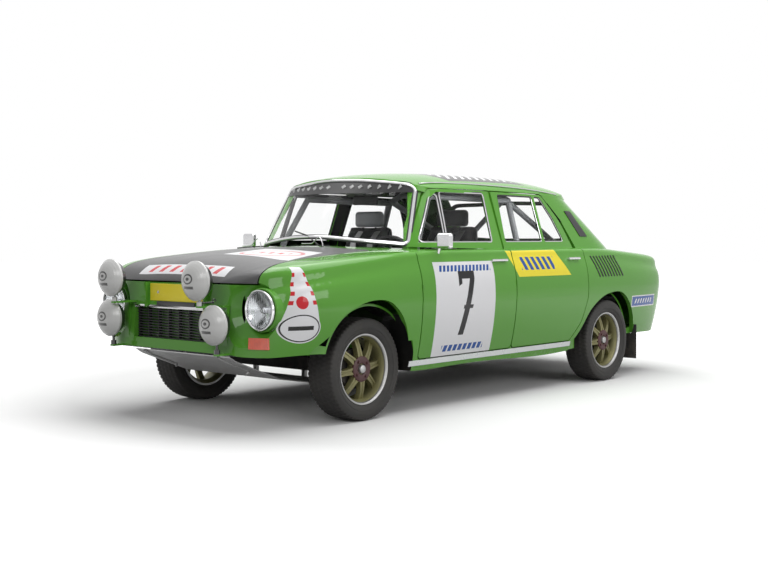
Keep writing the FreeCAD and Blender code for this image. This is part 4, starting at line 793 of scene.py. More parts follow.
def nose_badge(finish, colours, flank):
    """White tapered panel with red bars above a white oval in a black ring."""
    y, z = finish.y, finish.z
    taper = finish.outline(y, z, BADGE_TAPER)
    bars = finish.both(taper, finish.bars(z, *BADGE_BAR), finish.box(y, z, *BADGE_BARS),
                       finish.without(finish.outline(y, z, BADGE_MIDDLE)))
    layers = [(taper, colours.panel), (bars, colours.flash), (finish.oval(y, z, *BADGE_DOT), colours.flash)]
    for halves, tone in zip(BADGE_OVALS, (colours.panel, INK, colours.panel)):
        layers.append((finish.oval(y, z, *BADGE_OVAL_MIDDLE, *halves), tone))
    layers.append((finish.box(y, z, *BADGE_DASH), INK))
    for mask, colour in layers:
        finish.paint(finish.both(flank, mask), colour)


def roof_panel(finish, colours, upward):
    """Satin black panel on the roof with white bars."""
    top = finish.both(finish.above(upward, ROOFWARD), finish.above(finish.z, ROOF_HEIGHT))
    panel = finish.both(top, finish.box(finish.x, finish.y, *ROOF_PATCH))
    finish.paint(panel, colours.bonnet)
    finish.roughen(panel, ROOF_ROUGHNESS)
    bars = finish.bars(finish.math("ADD", finish.y, finish.x), *ROOF_BAR)
    finish.paint(finish.both(panel, bars, finish.box(finish.x, finish.y, *ROOF_BARS)), colours.panel)


def lid_paint(colours):
    """Satin black of the lids with plain pale strips."""
    finish = Finish("Lid Black", colours.bonnet, 0.36, Coat_Weight=0.25, Coat_Roughness=0.25)
    x, y = finish.x, finish.y
    upward = finish.normal["Z"]
    top = finish.above(upward, LIDWARD)
    front = finish.both(top, finish.box(x, y, *BONNET_STRIP))
    bars = finish.both(front, slanted_bars(finish, *BONNET_STRIP_BAR), finish.box(x, y, *BONNET_STRIP_BARS))
    rear = finish.both(top, finish.outline(x, y, BONNET_PATCH))
    ring = finish.both(rear, finish.oval(x, y, *BONNET_RING))
    hole = finish.both(rear, finish.oval(x, y, *BONNET_HOLE))
    marks = finish.both(hole, slanted_bars(finish, *BONNET_MARK_BAR), finish.box(x, y, *BONNET_MARKS))
    for mask, colour in ((front, colours.panel), (bars, colours.flash), (rear, colours.panel),
                         (finish.math("MULTIPLY", ring, 0.75), colours.flash), (hole, colours.panel),
                         (marks, colours.flash), (finish.below(upward, INSIDE_LID), colours.paint)):
        finish.paint(mask, colour)
    finish.bump(finish.fine(420), 0.0003, 0.5)
    finish.roughen(finish.mottle(6.0, 5.0, 0.3, 0.8), 0.44)
    return finish.material


def cover_finish():
    """White lamp covers with a small dark motif, in front of black shells."""
    finish = Finish("Lamp Cover", (0.60, 0.60, 0.59), 0.30, Coat_Weight=0.3, Coat_Roughness=0.1)
    low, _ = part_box("driving_lamps")
    wide, z = finish.wide, finish.z
    for middle, height in COVER_LAMPS:
        around = (middle, height + MOTIF_RISE)
        ring, hole, dot = [finish.oval(wide, z, *around, *halves) for halves in MOTIF_OVALS]
        left, right, low_edge, high_edge = MOTIF_BAR
        bar = finish.box(wide, z, middle + left, middle + right, height + low_edge, height + high_edge)
        finish.paint(finish.either(finish.math("SUBTRACT", ring, hole), dot, bar), (0.03, 0.03, 0.03))
    finish.bump(finish.fine(260), 0.0003, 0.3)
    finish.paint(finish.above(finish.normal["Y"], BACKWARD), (0.015, 0.015, 0.015))
    finish.paint(finish.above(finish.y, low.y + COVER_DEPTH), (0.02, 0.02, 0.02))
    return finish.material


def glass_finish():
    """Clear glass with a faint film."""
    finish = Finish("Window Glass", (0.985, 0.990, 0.988), 0.0, Transmission_Weight=1.0, IOR=1.12)
    film = finish.mottle(9.0, 3.0, 0.45, 0.8, out_low=0.0, out_high=0.03)
    finish.tree.links.new(film, finish.shader.inputs["Roughness"])
    return finish.material


def tyre_finish():
    """Worn rubber with dusty tread."""
    finish = Finish("Tyre Rubber", (0.021, 0.020, 0.019), 0.72)
    finish.grain(380, 0.0004, 0.6)
    spots = finish.mottle(7.0, 6.0, 0.42, 0.8, 0.65)
    finish.paint(finish.math("MULTIPLY", spots, 0.5), (0.050, 0.044, 0.036))
    return finish.material


def cloth_finish():
    """Woven black cloth."""
    finish = Finish("Cushion Cloth", (0.020, 0.020, 0.021), 0.85, Sheen_Weight=0.3)
    wave = finish.tree.nodes.new("ShaderNodeTexWave")
    wave.inputs["Scale"].default_value = 160.0
    wave.inputs["Distortion"].default_value = 1.5
    finish.tree.links.new(finish.place, wave.inputs["Vector"])
    finish.bump(finish.math("ADD", wave.outputs["Fac"], finish.fine(700)), 0.0008, 0.7)
    finish.paint(finish.mottle(11.0, 4.0, 0.4, 0.8), (0.034, 0.034, 0.036))
    return finish.material


def lamp_glass_finish():
    """Fluted lamp glass."""
    finish = Finish("Lamp Glass", (0.93, 0.95, 0.96), 0.02, Transmission_Weight=1.0, IOR=1.45)
    finish.ribs(finish.x, 0.016, 0.002, 0.6)
    return finish.material


def lens_finish(name, colour):
    """Coloured lens under a clear coat, ready for its ribs."""
    return Finish(name, colour, 0.18, **LENS_GLOSS)


def signal_finish():
    """Ribbed orange lens."""
    colour = (0.80, 0.085, 0.022)
    finish = lens_finish("Signal Orange", colour)
    finish.ribs(finish.x, 0.012, 0.0015, 0.7)
    finish.paint(finish.mottle(*LENS_CLOUDS), [part * 0.8 for part in colour])
    return finish.material


def tail_finish():
    """Red lens with an amber band."""
    finish = lens_finish("Tail Lens", (0.42, 0.012, 0.012))
    low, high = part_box("tail_lamps")
    finish.paint(finish.above(finish.z, low.z + (high.z - low.z) * 0.66), (0.60, 0.17, 0.02))
    finish.ribs(finish.z, 0.010, 0.0015, 0.7)
    finish.roughen(finish.mottle(*LENS_CLOUDS), 0.24)
    return finish.material


def plain(name, colour, rough, metal, grain, shade, dust=None):
    """Material with grain and, if wanted, road dust."""
    finish = Finish(name, colour, rough, metal)
    finish.grain(*grain, shade)
    if dust:
        finish.dust(*dust)
    return finish.material


def brushed(name, colour, rough, dust=None):
    """Metal with fine lines and slight stains."""
    finish = Finish(name, colour, rough, 1.0)
    stretch = finish.tree.nodes.new("ShaderNodeMapping")
    stretch.inputs["Scale"].default_value = (8.0, 400.0, 400.0)
    finish.tree.links.new(finish.place, stretch.inputs["Vector"])
    finish.bump(noise_node(finish.tree, 2.0, 3.0, stretch.outputs["Vector"]), 0.0002, 0.4)
    finish.roughen(finish.mottle(18.0, 5.0, 0.3, 0.8), rough + MOTTLE_ROUGHENING)
    if dust:
        finish.dust(*dust)
    return finish.material


# Name, colour or grey or setting, roughness, metal, grain's scale and depth, its shade, dust's top and amount
PLAIN_FINISHES = (
    ("bright_metal", (0.58, 0.58, 0.59), 0.10, 1.0, (500, 0.00005), 0.05),
    ("wheel_gold", "wheel", 0.42, 0.35, (260, 0.0005), 0.35, (0.5, 0.25)),
    ("wheel_hub", "hub", 0.5, 0.0, (240, 0.0005), 0.4),
    ("grille_black", 0.007, 0.6, 0.0, (300, 0.0003), 0.5),
    ("chassis_black", 0.022, 0.6, 0.0, (220, 0.0006), 0.5, (0.45, 0.5)),
    ("engine_grey", 0.10, 0.6, 0.3, (180, 0.0010), 0.5),
    ("dash_black", (0.020, 0.020, 0.021), 0.55, 0.0, (420, 0.0005), 0.4),
    ("cage_grey", (0.23, 0.24, 0.25), 0.4, 0.0, (260, 0.0003), 0.2),
    ("flap_rubber", 0.014, 0.7, 0.0, (240, 0.0006), 0.6, (0.4, 0.5)),
    ("seal_rubber", 0.010, 0.55, 0.0, (500, 0.0002), 0.5),
    ("plate_yellow", "patch", 0.35, 0.0, (300, 0.0002), 0.1),
    ("plate_white", (0.62, 0.62, 0.60), 0.35, 0.0, (300, 0.0002), 0.1),
    ("gauge_face", (0.55, 0.55, 0.52), 0.5, 0.0, (400, 0.0001), 0.2),
    ("strip_black", (0.012, 0.012, 0.013), 0.3, 0.0, (500, 0.0001), 0.4),
    ("strip_white", 0.78, 0.4, 0.0, (500, 0.0001), 0.1),
)
BRUSHED_FINISHES = (
    ("wheel_lip", 0.36, 0.34, (0.5, 0.2)),
    ("plate_grey", 0.38, 0.48, (0.35, 0.6)),
    ("exhaust_steel", (0.22, 0.19, 0.17), 0.5, (0.45, 0.5)),
    ("sill_silver", (0.55, 0.56, 0.57), 0.25),
)


OTHER_FINISHES = {"window_glass": glass_finish, "tyre_rubber": tyre_finish, "lamp_glass": lamp_glass_finish,
                  "lamp_cover": cover_finish, "signal_orange": signal_finish, "tail_red": tail_finish,
                  "seat_black": cloth_finish}


def make_materials(colours):
    """Every finish, by the name it is used under."""
    made = {"body_green": body_paint(colours), "lid_black": lid_paint(colours)}
    for name, maker in OTHER_FINISHES.items():
        made[name] = maker()
    for maker, rows in ((plain, PLAIN_FINISHES), (brushed, BRUSHED_FINISHES)):
        for name, tone, *rest in rows:
            if isinstance(tone, str):
                tone = getattr(colours, tone)
            elif isinstance(tone, float):
                tone = (tone,) * 3
            made[name] = maker(name.replace("_", " ").title(), tone, *rest)
    return made


NODE_CREASE = 32


class CAR_OT_finishes(bpy.types.Operator):
    """Gives every node of the car its finish"""

    bl_idname = "car.finishes"
    bl_label = "Finishes"

    def execute(self, context):
        finishes.update(make_materials(context.scene.car_colours))
        slots = {part["node"]: part["material_slot"] for part in frame["record"]["subparts"]}
        for name, node in nodes.items():
            node.data.materials.clear()
            node.data.materials.append(finishes[slots[name]])
            node.data.shade_smooth()
            node.data.set_sharp_from_angle(angle=math.radians(NODE_CREASE))
        return {"FINISHED"}


# Wheels
TYRE_LIP = 0.186
TREAD_POINTS = 15
TREAD_HALF_SHARE = 0.90
TREAD_CROWN = 0.006
RIM_HALF = 0.075
LIP_SECTION = [(-0.016, 0.176), (-0.008, 0.1765), (-0.002, 0.181), (0, 0.186), (0, 0.1895), (-0.004, 0.1905),
               (-0.009, 0.187), (-0.013, 0.182), (-0.018, 0.181)]
INNER_LIP = [(0, 0.178), (0, 0.190), (0.009, 0.190), (0.012, 0.180)]
BARREL = [(RIM_HALF - 0.016, 0.1775), (RIM_HALF - 0.020, 0.174), (0.036, 0.168), (0.020, 0.164),
          (-0.045, 0.158), (-RIM_HALF, 0.178), (-RIM_HALF + 0.004, 0.181), (-0.040, 0.162),
          (0.020, 0.170), (RIM_HALF - 0.018, 0.180)]
SPOKES = 8
SPOKE_FACE = 0.034
SPOKE_ROWS = ((0.058, 0.046, 0.020, 0.034), (0.085, 0.040, 0.017, 0.030), (0.120, 0.035, 0.010, 0.028),
              (0.150, 0.038, 0.000, 0.030), (0.174, 0.050, -0.012, 0.030))
SPOKE_SECTION = [(-0.50, 0.0), (-0.42, 1.0), (-0.16, 1.0), (-0.08, 0.86),
                 (0.08, 0.86), (0.16, 1.0), (0.42, 1.0), (0.50, 0.0)]
DRUM = [(0.0, 0.060), (0.030, 0.072), (0.046, 0.070), (0.046, 0.020), (0.0, 0.020)]
HUB_RING = [(0.045, 0.030), (0.055, 0.030), (0.058, 0.034), (0.058, 0.064), (0.055, 0.0685), (0.045, 0.069)]
HUB_CAP = [(0.035, 0.023), (0.058, 0.023), (0.064, 0.021), (0.067, 0.015), (0.068, 0.0)]
SPOKE_TURN = 0.15
NUTS = 4
NUT_TURN = 0.4
NUT_CIRCLE, NUT_FACE = 0.049, 0.058
NUT_SIZE = (0.0075, 0.008)
VALVE_LINE = ((0.045, 0.166), (0.068, 0.162))
VALVE_RADII = [0.003, 0.0035]
TREAD_CREASE, SPOKE_CREASE = 50, 34
BLOCK_STEPS = 4
BLOCK_POINTS = 3
TREAD_MARGIN = 0.0005
# Sidewall ribs: their distances from the lip and the tread, and shares of the half width with rises
RIB_FROM_LIP, RIB_FROM_TREAD = 0.034, 0.036
RIB_SECTION = ((0.985, 0.0), (1, 0.0015), (0.985, 0.003))


def tread_profile(half, outer):
    """Tyre section from bead to bead as (across, radius) pairs, and the index of its first tread point."""
    side = [(-0.70, TYRE_LIP), (-0.82, TYRE_LIP + 0.006), (-0.93, TYRE_LIP + 0.022), (-1.0, TYRE_LIP + 0.042),
            (-0.992, outer - 0.030), (-0.975, outer - 0.026), (-0.955, outer - 0.014)]
    tread = []
    for index in range(TREAD_POINTS):
        share = TREAD_HALF_SHARE * (2 * index / (TREAD_POINTS - 1) - 1)
        tread.append((share, outer - TREAD_CROWN * share * share))
    other = [(-across, radius) for across, radius in reversed(side)]
    return [(across * half, radius) for across, radius in side + tread + other], len(side)


def wheel_places():
    """Node prefix, body, centre, outward sign and half size of each wheel."""
    for end in ENDS:
        for side, sign in SIDES:
            name = "%s_%s" % (end, side)
            low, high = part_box(name + "_tyre")
            yield name, "wheel_" + name, (low + high) / 2, sign, (high - low) / 2


class CAR_OT_tyres(bpy.types.Operator):
    """Builds four tyres with block tread and ribbed sidewalls"""

    bl_idname = "car.tyres"
    bl_label = "Tyres"

    def execute(self, context):
        sizes = context.scene.car_sizes
        steps = sizes.tread_blocks * BLOCK_STEPS
        for name, body, centre, sign, half in wheel_places():
            mesh_data = bmesh.new()
            outer = half.z - TREAD_MARGIN
            profile, first = tread_profile(half.x, outer)
            rings = []
            for step in range(steps):
                ring = []
                for index, (across, radius) in enumerate(profile):
                    place = index - first
                    offset = BLOCK_STEPS // 2 * (place // BLOCK_POINTS % 2)
                    cross = (step + offset) % BLOCK_STEPS == 0
                    groove = place % BLOCK_POINTS == 2 and 1 < place < TREAD_POINTS - 2
                    if 0 <= place < TREAD_POINTS and (cross or groove):
                        radius -= sizes.tread_depth
                    ring.append(centre + turned_to(math.tau * step / steps, radius, across * sign))
                rings.append(ring)
            skin(mesh_data, rings, loop=True, ring_loop=False)
            for edge in (half.x, -half.x):
                for radius in (TYRE_LIP + RIB_FROM_LIP, outer - RIB_FROM_TREAD):
                    rib = [(edge * share, radius + rise) for share, rise in RIB_SECTION]
                    lathe(mesh_data, centre, LEFT, rib, 96)
            tyre = piece(name + "_tread", mesh_data, "tyre_rubber", body=body, crease=TREAD_CREASE)
            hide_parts(name + "_tyre")
        return {"FINISHED"}


def spoke_rings(centre, sign, angle):
    """Rings of one tapered spoke from the hub to the barrel."""
    out = turned_to(angle)
    side = turned_to(angle + math.pi / 2)
    rings = []
    for radius, width, face, depth in SPOKE_ROWS:
        ring = []
        for across, rise in SPOKE_SECTION:
            x = sign * (SPOKE_FACE + face - depth * (1 - rise))
            ring.append(centre + out * radius + side * (width * across) + LEFT * x)
        rings.append(ring)
    return rings


class CAR_OT_rims(bpy.types.Operator):
    """Builds four eight-spoke rims with lips, hub rings, nuts and caps"""

    bl_idname = "car.rims"
    bl_label = "Rims"

    def execute(self, context):
        for name, body, centre, sign, _ in wheel_places():
            axis = LEFT * sign
            lip, gold, hub, valve = [bmesh.new() for _ in range(4)]
            lathe(lip, centre, axis, [(RIM_HALF + reach, radius) for reach, radius in LIP_SECTION], 96)
            lathe(lip, centre, axis, [(-RIM_HALF + reach, radius) for reach, radius in INNER_LIP], 72)
            piece(name + "_lip", lip, "wheel_lip", body=body)
            lathe(gold, centre, axis, BARREL, 96)
            for index in range(SPOKES):
                skin(gold, spoke_rings(centre, sign, math.tau * (index + SPOKE_TURN) / SPOKES), ends=True)
            lathe(gold, centre, axis, DRUM)
            wheel = piece(name + "_spokes", gold, "wheel_gold", body=body, crease=SPOKE_CREASE)
            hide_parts(name + "_rim")
            lathe(hub, centre, axis, HUB_RING)
            for index in range(NUTS):
                spot = turned_to(math.tau * (index + NUT_TURN) / NUTS, NUT_CIRCLE, sign * NUT_FACE)
                bolt(hub, centre + spot, axis, *NUT_SIZE)
            piece(name + "_hub_ring", hub, "wheel_hub", body=body)
            turned_piece(name + "_cap", centre, axis, HUB_CAP, 48, "plate_grey", closed=False, body=body)
            stem = [centre + axis * reach + UP * height for reach, height in VALVE_LINE]
            pipe(valve, stem, VALVE_RADII, 8)
            piece(name + "_valve", valve, "seal_rubber", body=body)
        return {"FINISHED"}


# Lamps: distances from the rim's front, and radii as shares of the lamp's
HEADLAMP_RIM = [(-0.050, 0.80), (-0.018, 0.985), (-0.008, 1), (-0.003, 0.985), (-0.001, 0.94),
                (-0.006, 0.895), (-0.014, 0.885), (-0.016, 0.93)]
BULB = [(-0.050, 0.0), (-0.050, 0.016), (-0.034, 0.015), (-0.028, 0.010), (-0.026, 0.0)]
SCREW_ANGLES = (0.6, 2.5, 4.7)
SCREW_CIRCLE = 0.965
SCREW_SIZE = (0.0035, 0.003)
# Domes: place of the edge or the middle, height, share of the lamp's radius
GLASS_FOOT, GLASS_DOME, GLASS_SHARE = -0.013, 0.012, 0.895
GLASS_THICKNESS = 0.004
BOWL_FOOT, BOWL_DOME, BOWL_SHARE = -0.052, 0.034, 0.89
BOWL_THICKNESS = 0.002


class CAR_OT_lamps(bpy.types.Operator):
    """Builds headlamps with bowls, bulbs, glasses, rims and screws"""

    bl_idname = "car.lamps"
    bl_label = "Lamps"

    def execute(self, context):
        low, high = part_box("headlamps")
        reach = (high.z - low.z) / 2
        for side, sign in SIDES:
            centre = Vector((sign * (high.x - reach), low.y, (high.z + low.z) / 2))
            bowl, screws = bmesh.new(), bmesh.new()
            section = [(place, reach * share) for place, share in HEADLAMP_RIM]
            ring = turned_piece("headlamp_rim_" + side, centre, -BACK, section, 96, "bright_metal")
            shares = [index / 8 for index in range(9)]
            dome = [(GLASS_FOOT + GLASS_DOME * (1 - share * share), reach * GLASS_SHARE * share)
                    for share in shares]
            inside = [(place - GLASS_THICKNESS, radius) for place, radius in reversed(dome)]
            turned_piece("headlamp_glass_" + side, centre, -BACK, dome + inside, 72, "lamp_glass")
            shares = [index / 10 for index in range(11)]
            curve = [(BOWL_FOOT + BOWL_DOME * share * share, reach * BOWL_SHARE * share + 0.001)
                     for share in shares]
            outside = [(place - BOWL_THICKNESS, radius + BOWL_THICKNESS) for place, radius in reversed(curve)]
            lathe(bowl, centre, -BACK, curve + outside, 72)
            lathe(bowl, centre, -BACK, BULB, 32, closed=False)
            piece("headlamp_bowl_" + side, bowl, "bright_metal")
            for angle in SCREW_ANGLES:
                spot = Vector((math.cos(angle), 0, math.sin(angle))) * reach * SCREW_CIRCLE
                bolt(screws, centre + spot + BACK * 0.002, -BACK, *SCREW_SIZE)
            piece("headlamp_screws_" + side, screws, "plate_grey")
            if side == "right":
                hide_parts("headlamps")
        return {"FINISHED"}


# Cabin walls: how far the wall turns in towards the screens, the screens' edges as height, distance behind
# the front axle and half width, and the doors' outlines as distances and heights
WALL_HALF_WIDTH, WALL_HEIGHT = 0.644, 1.108
WALL_SLOPE = 0.325
SCREEN_LEAN = 0.43
FRONT_TURN = [(0.575, 0.110), (0.586, 0.092), (0.605, 0.072), (0.625, 0.053), (0.641, 0.039),
              (0.659, 0.024), (0.684, 0.014), (0.712, 0.007), (0.780, 0.0)]
REAR_TURN = [(0.0, 0.130), (0.03, 0.085), (0.06, 0.055), (0.10, 0.030), (0.15, 0.012), (0.20, 0.004),
             (0.25, 0.0)]
FRONT_SCREEN_EDGE = [(0.900, 0.487, 0.600), (0.964, 0.517, 0.580), (1.021, 0.539, 0.561),
                     (1.108, 0.586, 0.552), (1.195, 0.620, 0.524), (1.254, 0.643, 0.505),
                     (1.275, 0.651, 0.497)]
REAR_SCREEN_EDGE = [(0.900, 2.663, 0.578), (0.959, 2.592, 0.560), (1.208, 2.292, 0.484),
                    (1.265, 2.224, 0.467)]
FRONT_DOOR_EDGE = [(0.492, 0.923), (0.672, 1.217), (0.710, 1.264), (1.275, 1.264), (1.275, 0.905)]
FRONT_PANE_EDGE = [(0.547, 0.950), (0.701, 1.208), (0.761, 1.245), (1.204, 1.245), (1.181, 0.950)]
REAR_DOOR_EDGE = [(0.880, 2.116), (0.901, 2.105), (1.094, 2.004), (1.259, 1.848), (1.275, 1.833)]
PILLAR_VENT = [(0.985, 2.200, 2.290), (1.155, 2.085, 2.160)]
VENT_STEPS, VENT_ACROSS = 32, 6
VENT_VALLEY, VENT_RIDGE, VENT_DEPTH = 0.0035, 0.005, -0.006
FRAME_SECTION = [(0.03, -0.001), (0.25, -0.001), (0.5, -0.001), (0.75, -0.001), (1.0, -0.001),
                 (1.0, -0.016), (0.03, -0.016)]
POST_HEIGHTS = (0.905, 0.935, 0.964, 0.99, 1.021, 1.065, 1.108, 1.15, 1.195, 1.225, 1.254, 1.275)
DOOR_EDGE_SLOPE = 0.612
QUARTER_LOW, QUARTER_HIGH = 0.895, 1.268
QUARTER_SHARES = (0, 0.2, 0.4, 0.55, 0.68, 0.78, 0.86, 0.92, 0.965, 1.0)
QUARTER_STEPS, QUARTER_DEPTH = 15, -0.030
FRAME_STEPS = 12
POST_GAP = 0.008


def between(table, place):
    """Values of a table's rows at a place given by their first column."""
    for low, high in zip(table, table[1:]):
        if place <= high[0] or high is table[-1]:
            return mixed(low[1:], high[1:], max((place - low[0]) / (high[0] - low[0]), 0))


def cabin_wall(run, z):
    """Distance of the cabin's side wall from the middle, rounded towards both screens."""
    rise = z - WALL_HEIGHT
    front = between(FRONT_TURN, min(run - SCREEN_LEAN * rise, FRONT_TURN[-1][0]))[0]
    rear = between(REAR_TURN, min(between(REAR_SCREEN_EDGE, z)[0] - run, REAR_TURN[-1][0]))[0]
    return WALL_HALF_WIDTH - WALL_SLOPE * rise - front - rear


def wall_point(sign, run, z, out=0.0):
    """Point outside of the cabin's wall by a distance."""
    return at(sign * (cabin_wall(run, z) + out), run, z)


class CAR_OT_posts(bpy.types.Operator):
    """Builds the screen pillars, the rear quarters with their vents and the front doors' window frames"""

    bl_idname = "car.posts"
    bl_label = "Posts"

    def execute(self, context):
        for side, sign in SIDES:
            self.door_frame(side, sign)
            self.front_post(side, sign)
            self.rear_quarter(side, sign)
            self.pillar_vent(side, sign)
        return {"FINISHED"}

    def door_frame(self, side, sign):
        """Frame around the front door's panes."""
        rings = []
        corners = list(zip(FRONT_DOOR_EDGE, FRONT_PANE_EDGE))
        for (outer, inner), (outer_next, inner_next) in zip(corners, corners[1:] + corners[:1]):
            for step in range(FRAME_STEPS):
                edge = mixed(outer, outer_next, step / FRAME_STEPS)
                pane = mixed(inner, inner_next, step / FRAME_STEPS)
                spots = [(mixed(edge, pane, across), out) for across, out in FRAME_SECTION]
                rings.append([wall_point(sign, *spot, out) for spot, out in spots])
        skinned_piece("front_%s_window_frame" % side, rings, "body_green", loop=True,
                      body="door_front_" + side)

    def front_post(self, side, sign):
        """Pillar between the windscreen and the front door."""
        rings = []
        foot_run, foot_z = FRONT_DOOR_EDGE[0]
        for z in POST_HEIGHTS:
            screen, x = between(FRONT_SCREEN_EDGE, z)
            lip = max(foot_run + DOOR_EDGE_SLOPE * (z - foot_z) - POST_GAP, screen + 0.004)
            back = cabin_wall(lip + 0.045, z)
            points = [(screen, x + 0.001), (lip, min(cabin_wall(lip, z), x + (lip - screen) * 1.2)),
                      (lip + 0.004, cabin_wall(lip + 0.004, z) - 0.024), (lip + 0.045, back - 0.026),
                      (lip + 0.040, back - 0.052), (screen + 0.006, x - 0.040)]
            rings.append([at(sign * across, run, z) for run, across in points])
        skinned_piece("front_post_" + side, rings, "body_green", ends=True)

    def rear_quarter(self, side, sign):
        """Panel between the rear door and the rear window."""
        rings = []
        for step in range(QUARTER_STEPS + 1):
            z = QUARTER_LOW + (QUARTER_HIGH - QUARTER_LOW) * step / QUARTER_STEPS
            door = between(REAR_DOOR_EDGE, z)[0] + POST_GAP
            screen = between(REAR_SCREEN_EDGE, z)[0]
            ring = [wall_point(sign, door + (screen - door) * share, z) for share in QUARTER_SHARES]
            inside = (screen - 0.02, (door + screen) / 2, door)
            rings.append(ring + [wall_point(sign, run, z, QUARTER_DEPTH) for run in inside])
        skinned_piece("rear_quarter_" + side, rings, "body_green", ends=True)

    def pillar_vent(self, side, sign):
        """Black slotted vent on the rear quarter."""
        rings = []
        for step in range(VENT_STEPS + 1):
            z = PILLAR_VENT[0][0] + (PILLAR_VENT[1][0] - PILLAR_VENT[0][0]) * step / VENT_STEPS
            low, high = between(PILLAR_VENT, z)
            runs = [low + (high - low) * index / VENT_ACROSS for index in range(VENT_ACROSS + 1)]
            ring = [wall_point(sign, run, z, VENT_RIDGE if step % 2 else VENT_VALLEY) for run in runs]
            rings.append(ring + [wall_point(sign, run, z, VENT_DEPTH) for run in reversed(runs)])
        skinned_piece("pillar_vent_" + side, rings, "strip_black", ends=True)


# Trim: sections as shares of half a width, with heights
SURROUND_SECTION = [(-1, 0.001), (-0.8, 0.006), (0, 0.009), (0.8, 0.006), (1, 0.001)]
SURROUND_SEAL = [(-1.7, -0.002), (-1.6, 0.0025), (1.6, 0.0025), (1.7, -0.002)]
PANE_FRAME_SECTION = [(-1, 0.0005), (-0.7, 0.004), (0.7, 0.004), (1, 0.0005)]
PANE_SEAL = [(-1.9, -0.002), (-1.8, 0.0018), (1.8, 0.0018), (1.9, -0.002)]
SUNSTRIP_DEPTH = 0.082
SUNSTRIP_LIFT, SUNSTRIP_THICKNESS = 0.0012, 0.0008
LOZENGE = [(-0.020, 0), (0, -0.017), (0.020, 0), (0, 0.017)]
LOZENGE_STEPS = (*range(-7, 0), *range(1, 8))
LOZENGE_SPACING = 0.062
LOZENGE_DROP, LOZENGE_SAG = 0.040, 0.02
LOZENGE_LIFT, LOZENGE_THICKNESS = 0.003, 0.0006
GUTTER_LINE = ((0.690, 1.290), (0.850, 1.300), (1.252, 1.300), (1.700, 1.288), (2.050, 1.262))
GUTTER_SECTION = [(-0.005, -0.004), (-0.005, 0.006), (-0.002, 0.009), (0.002, 0.009), (0.005, 0.005),
                  (0.005, -0.004)]
WIPER_BOSS = [(0, 0.0), (0, 0.014), (0.012, 0.011), (0.016, 0.006), (0.016, 0.0)]
WIPER_PLACES = (0.30, -0.22)
WIPER_RUN = 0.215
WIPER_REACH = 0.40
# Shares of the reach along the arm and the blade, and how far both sweep up the glass
ARM_SHARES, ARM_SWEEP, ARM_RADIUS = (0.0, 0.12, 0.35, 0.65, 0.92), 0.105, 0.0032
BLADE_SHARES, BLADE_SWEEP = (0.20, 0.5, 0.8, 1.15), 0.110
BLADE_SECTION = [(-0.003, 0.002), (-0.003, 0.010), (0.003, 0.010), (0.003, 0.002)]


def edging(node, facing, least, shortest, half, sections, names, body="body"):
    """Bright frame and rubber seal along a node's borders."""
    loops = borders(node, facing, least, shortest)
    for name, section, finish in zip(names, sections, ("bright_metal", "seal_rubber")):
        mesh_data = bmesh.new()
        for loop in loops:
            strip(mesh_data, loop, [(across * half, out) for across, out in section])
        piece(name, mesh_data, finish, body=body)


